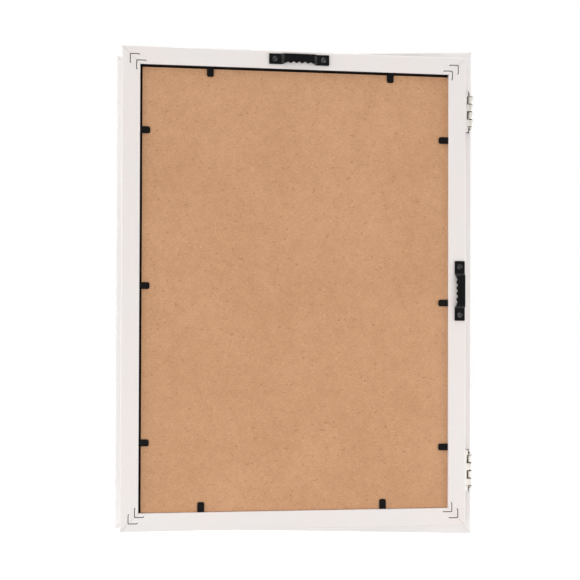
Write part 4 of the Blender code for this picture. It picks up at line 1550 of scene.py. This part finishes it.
@dataclass
class Hinge:
    """A butt hinge: two leaves with interleaved knuckles on a round-headed pin."""

    swing: Swing
    label: str
    screw: Screw = Screw()
    screw_room: float = 0.0001
    thickness: float = 0.0010
    corner: float = 0.0030
    heel: float = 0.0004
    softness: float = 0.00015
    crease: float = 50.0
    knuckles: int = 4
    barrel_length: float = 0.0304
    bore: float = 0.0014
    knuckle_gap: float = 0.0009
    knuckle_round: float = 0.00035
    knuckle_steps: int = 3
    facets: int = 48
    plate_start: float = 0.0031
    plate_notch: float = 0.0012
    seam_depth: float = 0.0004
    seat: float = 0.0003
    bed_room: float = 0.0001
    bed_gap: float = 0.0019
    barrel_room: float = 0.0008
    pin_radius: float = 0.0012
    pin_head: float = 0.0024
    pin_height: float = 0.0018
    pin_brim: float = 0.0003
    pin_bevel: float = 0.00012
    pin_gap: float = 0.0002

    def __post_init__(self) -> None:
        """Measure the hinge's solids."""
        low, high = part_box(self.node(Body.BOX, "leaf"))
        self.height = (low.z + high.z) / 2
        self.half = (high.z - low.z) / 2
        self.radius = self.swing.axis.x - low.x
        self.reach = high.x - self.swing.axis.x
        self.near = high.y - self.thickness - self.swing.axis.y
        self.origin = Vector((self.swing.axis.x, self.swing.axis.y, self.height))
        self.pitch = self.barrel_length / self.knuckles
        self.knuckle = self.pitch - self.knuckle_gap

    def node(self, body: Body, part: str) -> str:
        """Return the name of one of the hinge's solids."""
        return f"hinge_{self.label}_{body.value}_{part}"

    def levels(self, body: Body) -> list[float]:
        """Find a leaf's knuckles.

        Args:
            body: The leaf's body.

        Returns:
            The levels of their middles, from the top.
        """
        first = 1 if body is Body.BOX else 0
        return [self.barrel_length / 2 - self.pitch * (index + 0.5)
                for index in range(first, self.knuckles, 2)]

    def screws(self, body: Body) -> list[str]:
        """Return the names of a leaf's screws."""
        return [self.node(body, f"screw_{number}") for number in (1, 2)]

    def screw_places(self, body: Body) -> list[Vector]:
        """Return the middles of a leaf's screws, measured from the hinge's middle on its axis."""
        boxes = [self.swing.measure(body, node) for node in self.screws(body)]
        return [(low + high) / 2 - self.origin for low, high in boxes]

    def recesses(self, body: Body) -> list[bpy.types.Object]:
        """Make what is cut from a moulding: the leaf's bed and, in the door, the barrel's trough.

        Args:
            body: The moulding's body.

        Returns:
            The cutters, on the closed frame.
        """
        # The bed's and trough's cut faces carry painted shade in the lacquer.
        tall = self.half + self.seat
        depths = sorted((0.0, body.facing * (self.near + self.thickness + self.bed_room)))
        bed = slab("leaf_bed",
                   self.origin + Vector((self.plate_start - self.bed_gap, depths[0], -tall)),
                   self.origin + Vector((self.reach + self.seat, depths[1], tall)))
        if body is Body.BOX:
            return [bed]
        tall = self.barrel_length / 2 + self.pin_height + self.barrel_room
        trough = rod("barrel_trough", self.radius + self.barrel_room, tall)
        trough.data.transform(Matrix.Translation(self.origin))
        return [bed, trough]

    def outline(self, body: Body) -> list[Vector]:
        """Draw a leaf: a plate with two rounded corners, and a tongue to each of its knuckles.

        Args:
            body: The leaf's body.

        Returns:
            The outline's points, with the hinge's middle at the origin.
        """
        inner = (self.bore + self.radius) / 2
        start = self.plate_start + self.plate_notch
        end = self.barrel_length / 2
        corners = [(self.reach, -self.half, self.corner), (self.reach, self.half, self.corner),
                   (self.plate_start, self.half, self.heel), (self.plate_start, end, 0.0),
                   (start, end, 0.0)]
        for level in self.levels(body):
            top, bottom = level + self.knuckle / 2, level - self.knuckle / 2
            corners += [(start, top, 0.0), (inner, top, 0.0), (inner, bottom, 0.0),
                        (start, bottom, 0.0)]
        corners += [(start, -end, 0.0), (self.plate_start, -end, 0.0),
                    (self.plate_start, -self.half, self.heel)]
        return rounded(corners)

    def build_leaf(self, body: Body) -> None:
        """Make one leaf: its plate with screw holes, and its knuckles.

        Args:
            body: The body that it is screwed to.
        """
        name = self.node(body, "leaf")
        radius = self.screw.radius + self.screw_room
        holes = [(place.x, place.z, radius) for place in self.screw_places(body)]
        flat = plate(f"{name}_plate", self.outline(body), holes, self.thickness)
        depth = body.facing * (self.near + self.thickness / 2)
        flat.data.transform(Matrix.Rotation(QUARTER, 4, "X"))
        flat.data.transform(Matrix.Translation((0.0, depth, 0.0)))
        if body is Body.DOOR:
            carve(flat, self.seams())
        soften(flat, self.softness, angle=self.crease)
        rings = self.rings(f"{name}_knuckles", body)
        for piece, nodes in ((flat, (name,)), (rings, ())):
            piece.data.transform(Matrix.Translation(self.origin))
            self.swing.hang(piece, Finish.NICKEL, body, *nodes)

    def seams(self) -> list[bpy.types.Object]:
        """Make what is cut from the door's leaf where its tongues meet their knuckles; the cut
        faces carry painted shade.

        Returns:
            The cutters, with the hinge's middle at the origin.
        """
        tall = self.knuckle / 2 + self.knuckle_gap / 2
        low = Vector((self.bore, -self.near - self.seam_depth, -tall))
        high = Vector((self.plate_start + self.plate_notch, self.seam_depth, tall))
        rises = [Vector((0.0, 0.0, level)) for level in self.levels(Body.DOOR)]
        return [slab("seam", low + rise, high + rise) for rise in rises]

    def rings(self, name: str, body: Body) -> bpy.types.Object:
        """Make a leaf's knuckles by sweeping a rounded wall round the axis and repeating it.

        Args:
            name: The piece's name.
            body: The leaf's body.

        Returns:
            The knuckles, with the hinge's middle at the origin.
        """
        recipe = Recipe(name)
        bore = recipe.size("Bore Radius", self.bore)
        radius = recipe.size("Barrel Radius", self.radius)
        wall = recipe.math("SUBTRACT", radius, bore)
        middle = recipe.math("DIVIDE", recipe.math("ADD", radius, bore), 2.0)
        feeds = {"Resolution": self.facets, "Radius": middle}
        path = recipe.add("GeometryNodeCurvePrimitiveCircle", feeds).outputs[0]
        level = recipe.add("GeometryNodeSetCurveNormal", {0: path}, mode="Z_UP").outputs[0]
        feeds = {"Width": wall, "Height": recipe.size("Knuckle Length", self.knuckle)}
        wide = recipe.add("GeometryNodeCurvePrimitiveQuadrilateral", feeds).outputs[0]
        edge = recipe.size("Edge Radius", self.knuckle_round)
        feeds = {"Curve": wide, "Radius": edge, "Count": self.knuckle_steps}
        section = recipe.add("GeometryNodeFilletCurve", feeds, mode="POLY").outputs[0]
        feeds = {"Curve": level, "Profile Curve": section}
        ring = recipe.add("GeometryNodeCurveToMesh", feeds).outputs[0]
        feeds = {"Points": recipe.base, "Instance": ring}
        copies = recipe.add("GeometryNodeInstanceOnPoints", feeds)
        recipe.end(copies.outputs[0], Finish.NICKEL.material)
        places = [(0.0, 0.0, level) for level in self.levels(body)]
        rings = recipe.grow(name, spots(name, places, [(0.0, 0.0, 0.0)] * len(places)))
        rings.data.shade_smooth()
        return rings

    def build_pin(self) -> None:
        """Make the pin with a round head at each end."""
        name = f"hinge_{self.label}_pin"
        end = self.barrel_length / 2 + self.pin_gap
        upper = crown(self.pin_head, self.pin_height - self.pin_brim, end + self.pin_brim)
        upper += [(self.pin_head, end + self.pin_bevel), (self.pin_head - self.pin_bevel, end),
                  (self.pin_radius, end)]
        profile = upper + [(radius, -level) for radius, level in reversed(upper)]
        pin = turned(f"{name}_turned", profile)
        mark_edges(pin, 0.0)
        # The pin's middle, inside the knuckles, is painted dark as shade where it shows between
        # them.
        shaded_shaft = [1.0 if abs(polygon.center.z) < self.barrel_length / 2 else 0.0
                 for polygon in pin.data.polygons]
        pin.data.attributes.new("bare", "FLOAT", "FACE").data.foreach_set("value", shaded_shaft)
        pin.data.transform(Matrix.Translation(self.origin))
        dress(pin, Finish.NICKEL, Body.BOX, name)

    def build_screws(self, body: Body) -> None:
        """Make the screws of one leaf.

        Args:
            body: The leaf's body.
        """
        places = [self.origin + Vector((middle.x, body.facing * self.near, middle.z))
                  for middle in self.screw_places(body)]
        turns = [(body.facing * QUARTER, 0.0, 0.0)] * len(places)
        head = self.screw.make(f"hinge_{self.label}_screw_head")
        screws = repeat(self.node(body, "screws"), head, places, turns, Finish.NICKEL)
        self.swing.hang(screws, Finish.NICKEL, body, *self.screws(body))

    def build(self) -> None:
        """Make the whole hinge."""
        for body in Body:
            self.build_leaf(body)
            self.build_screws(body)
        self.build_pin()


@dataclass
class Catch:
    """A magnet in the box and the steel plate that it draws."""

    swing: Swing
    chamfer: float = 0.0003
    room: float = 0.0003
    facets: int = 48

    NODES = {Body.BOX: "catch_magnet", Body.DOOR: "catch_plate"}
    FINISHES = {Body.BOX: Finish.MAGNET, Body.DOOR: Finish.PLATE}

    def pocket(self, body: Body) -> bpy.types.Object:
        """Make what is cut from a body's moulding for its disc.

        Args:
            body: The body.

        Returns:
            The cutter, on the closed frame.
        """
        node = self.NODES[body]
        low, high = self.swing.measure(body, node)
        radius = (high.z - low.z) / 2 + self.room
        # Its faces carry painted shade where they cut the lacquer.
        cutter = rod(f"{node}_pocket", radius, (high.y - low.y) / 2 + self.room, self.facets)
        place = Matrix.Translation((low + high) / 2) @ Matrix.Rotation(QUARTER, 4, "X")
        cutter.data.transform(place)
        return cutter

    def build_disc(self, body: Body) -> None:
        """Make one body's disc, with a chamfered rim on its open face.

        Args:
            body: The body that carries it.
        """
        node = self.NODES[body]
        low, high = self.swing.measure(body, node)
        radius = (high.z - low.z) / 2
        half = (high.y - low.y) / 2
        profile = [(0.0, half), (radius - self.chamfer, half), (radius, half - self.chamfer),
                   (radius, -half), (0.0, -half)]
        disc = turned(f"{node}_disc", profile, self.facets)
        disc.data.transform(Matrix.Rotation(body.facing * QUARTER, 4, "X"))
        disc.data.transform(Matrix.Translation((low + high) / 2))
        mark_edges(disc, self.chamfer * CHAMFER_FACE)
        self.swing.hang(disc, self.FINISHES[body], body, node)

    def build(self) -> None:
        """Make both discs."""
        for body in Body:
            self.build_disc(body)


@dataclass(frozen=True)
class Lamp:
    """A square soft lamp."""

    name: str
    place: Place
    size: float
    power: float
    in_metal: bool = True

    def build(self, target: Place) -> None:
        """Add the lamp.

        Args:
            target: What it faces.
        """
        data = bpy.data.lights.new(self.name, "AREA")
        data.shape = "SQUARE"
        data.size = self.size
        data.energy = self.power
        lamp = put(self.name, data)
        aim = (Vector(target) - Vector(self.place)).to_track_quat("-Z", "Y")
        lamp.matrix_world = Matrix.Translation(self.place) @ aim.to_matrix().to_4x4()
        lamp.visible_glossy = self.in_metal


@dataclass
class Studio:
    """The camera, the lamps and the pale floor."""

    camera_place: Place = (0.1340, 0.8517, -0.2586)
    yaw: float = 6.29
    pitch: float = -0.58
    roll: float = 0.20
    lens: float = 56.13
    shift: Span = (0.0578, 0.0579)
    middle: Place = (0.0, 0.0, -0.22)
    lamps: tuple[Lamp, ...] = (
        Lamp("free_side_wash", (2.4, 0.70, -0.05), 1.3, 26.0),
        Lamp("hinge_side_wash", (-2.4, 0.70, -0.30), 1.3, 22.5),
        Lamp("top_wash", (0.0, 0.30, 1.3), 0.8, 10.8),
        Lamp("low_fill", (0.42, 0.85, -0.68), 0.6, 2.15),
        Lamp("low_hinge_fill", (-0.9, 0.70, -0.68), 0.6, 3.7),
        Lamp("front_fill", (0.1, -1.6, 0.2), 1.2, 13.8, in_metal=False),
    )
    sky: float = 0.39
    floor_drop: float = 0.28
    floor_size: float = 14.0
    floor_cloud: float = 0.4
    floor_tones: Span = (0.80, 0.78)
    floor_seen: Span = (0.46, 0.44)
    floor_reach: Span = (1.2, 3.0)
    floor_glow: Span = (0.70, 0.92)

    def build_camera(self) -> None:
        """Set the camera where the photograph was taken from, a little below the middle."""
        data = bpy.data.cameras.new("camera")
        data.lens = self.lens
        data.shift_x, data.shift_y = self.shift
        camera = put("camera", data)
        turn = Matrix.Rotation(math.pi - math.radians(self.yaw), 4, "Z")
        tilt = Matrix.Rotation(QUARTER - math.radians(self.pitch), 4, "X")
        roll = Matrix.Rotation(math.radians(self.roll), 4, "Z")
        camera.matrix_world = Matrix.Translation(self.camera_place) @ turn @ tilt @ roll
        bpy.context.scene.camera = camera

    def build_world(self) -> None:
        """Make an even pale surrounding, white to the camera, in glass and in metal."""
        world = bpy.data.worlds.new("studio")
        world.use_nodes = True
        bpy.context.scene.world = world
        graph = Graph(world.node_tree)
        strength = graph.spread(graph.looked_at(), WHOLE, (self.sky, 1.0))
        sky = graph.tree.nodes["Background"]
        sky.inputs["Color"].default_value = grey(1.0)
        graph.tree.links.new(strength, sky.inputs["Strength"])

    def build_floor(self, low: Vector) -> None:
        """Lay the pale floor below the frame.

        Args:
            low: The frame's lowest corner.
        """
        bm = bmesh.new()
        level = Matrix.Translation((0.0, 0.0, low.z - self.floor_drop))
        bmesh.ops.create_grid(bm, x_segments=1, y_segments=1, size=self.floor_size / 2,
                              matrix=level)
        floor = put("floor", to_mesh("floor", bm))
        work = Surface("floor_paint", roughness=0.9, Specular_IOR_Level=0.0,
                       Emission_Color=grey(1.0))
        plain = work.looked_at()
        clouds = work.noise(self.floor_cloud, detail=2.0)
        lit, seen = (work.blend(clouds, *map(grey, tones))
                     for tones in (self.floor_tones, self.floor_seen))
        work.feed("Base Color", work.blend(plain, lit, seen))
        far = work.add("ShaderNodeVectorMath", {0: work.place}, operation="LENGTH").outputs["Value"]
        glow = work.spread(far, self.floor_reach, self.floor_glow, smooth=True)
        work.feed("Emission Strength", work.math("MULTIPLY", plain, glow))
        floor.data.materials.append(work.material)
        floor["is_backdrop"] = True

    def build(self, low: Vector) -> None:
        """Set up everything around the frame.

        Args:
            low: The frame's lowest corner.
        """
        bpy.context.scene.view_settings.view_transform = "Standard"
        self.build_camera()
        self.build_world()
        self.build_floor(low)
        for lamp in self.lamps:
            lamp.build(self.middle)


def main() -> None:
    """Dress the frame, piece by piece, and light it."""
    logging.basicConfig(level=logging.INFO, format="%(name)s: %(message)s")
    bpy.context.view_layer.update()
    swing = Swing()
    Studio().build(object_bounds()[0])
    box = Frame(Body.BOX, Finish.LACQUER, swing, back_width=0.0170, ledge=0.0050,
                rebate=0.0085, back_round=0.0012, front_round=0.0008)
    door = Frame(Body.DOOR, Finish.FRONT, swing, back_width=0.0295, ledge=0.0065,
                 rebate=0.0080, back_round=0.0010, front_round=0.0020)
    hinges = [Hinge(swing, label) for label in ("upper", "lower")]
    catch = Catch(swing)
    for part in (box, door):
        beds = [cutter for hinge in hinges for cutter in hinge.recesses(part.body)]
        part.build_rails({Side.HINGE: beds, Side.FREE: [catch.pocket(part.body)]})
    VNails(box, "v_nail", insets={"_outer": 0.0077, "_inner": 0.0136}).build()
    VNails(door, "door_v_nail", insets={"": 0.0185}).build()
    Points(box, "flexible_point").build()
    Points(door, "glazing_point", exposed=0.0070).build()
    Sheets(swing).build(box)
    Hanger(Side.TOP, "hanger_top").build()
    Hanger(Side.HINGE, "hanger_side").build()
    for hinge in hinges:
        hinge.build()
    catch.build()


if __name__ == "__main__":
    main()
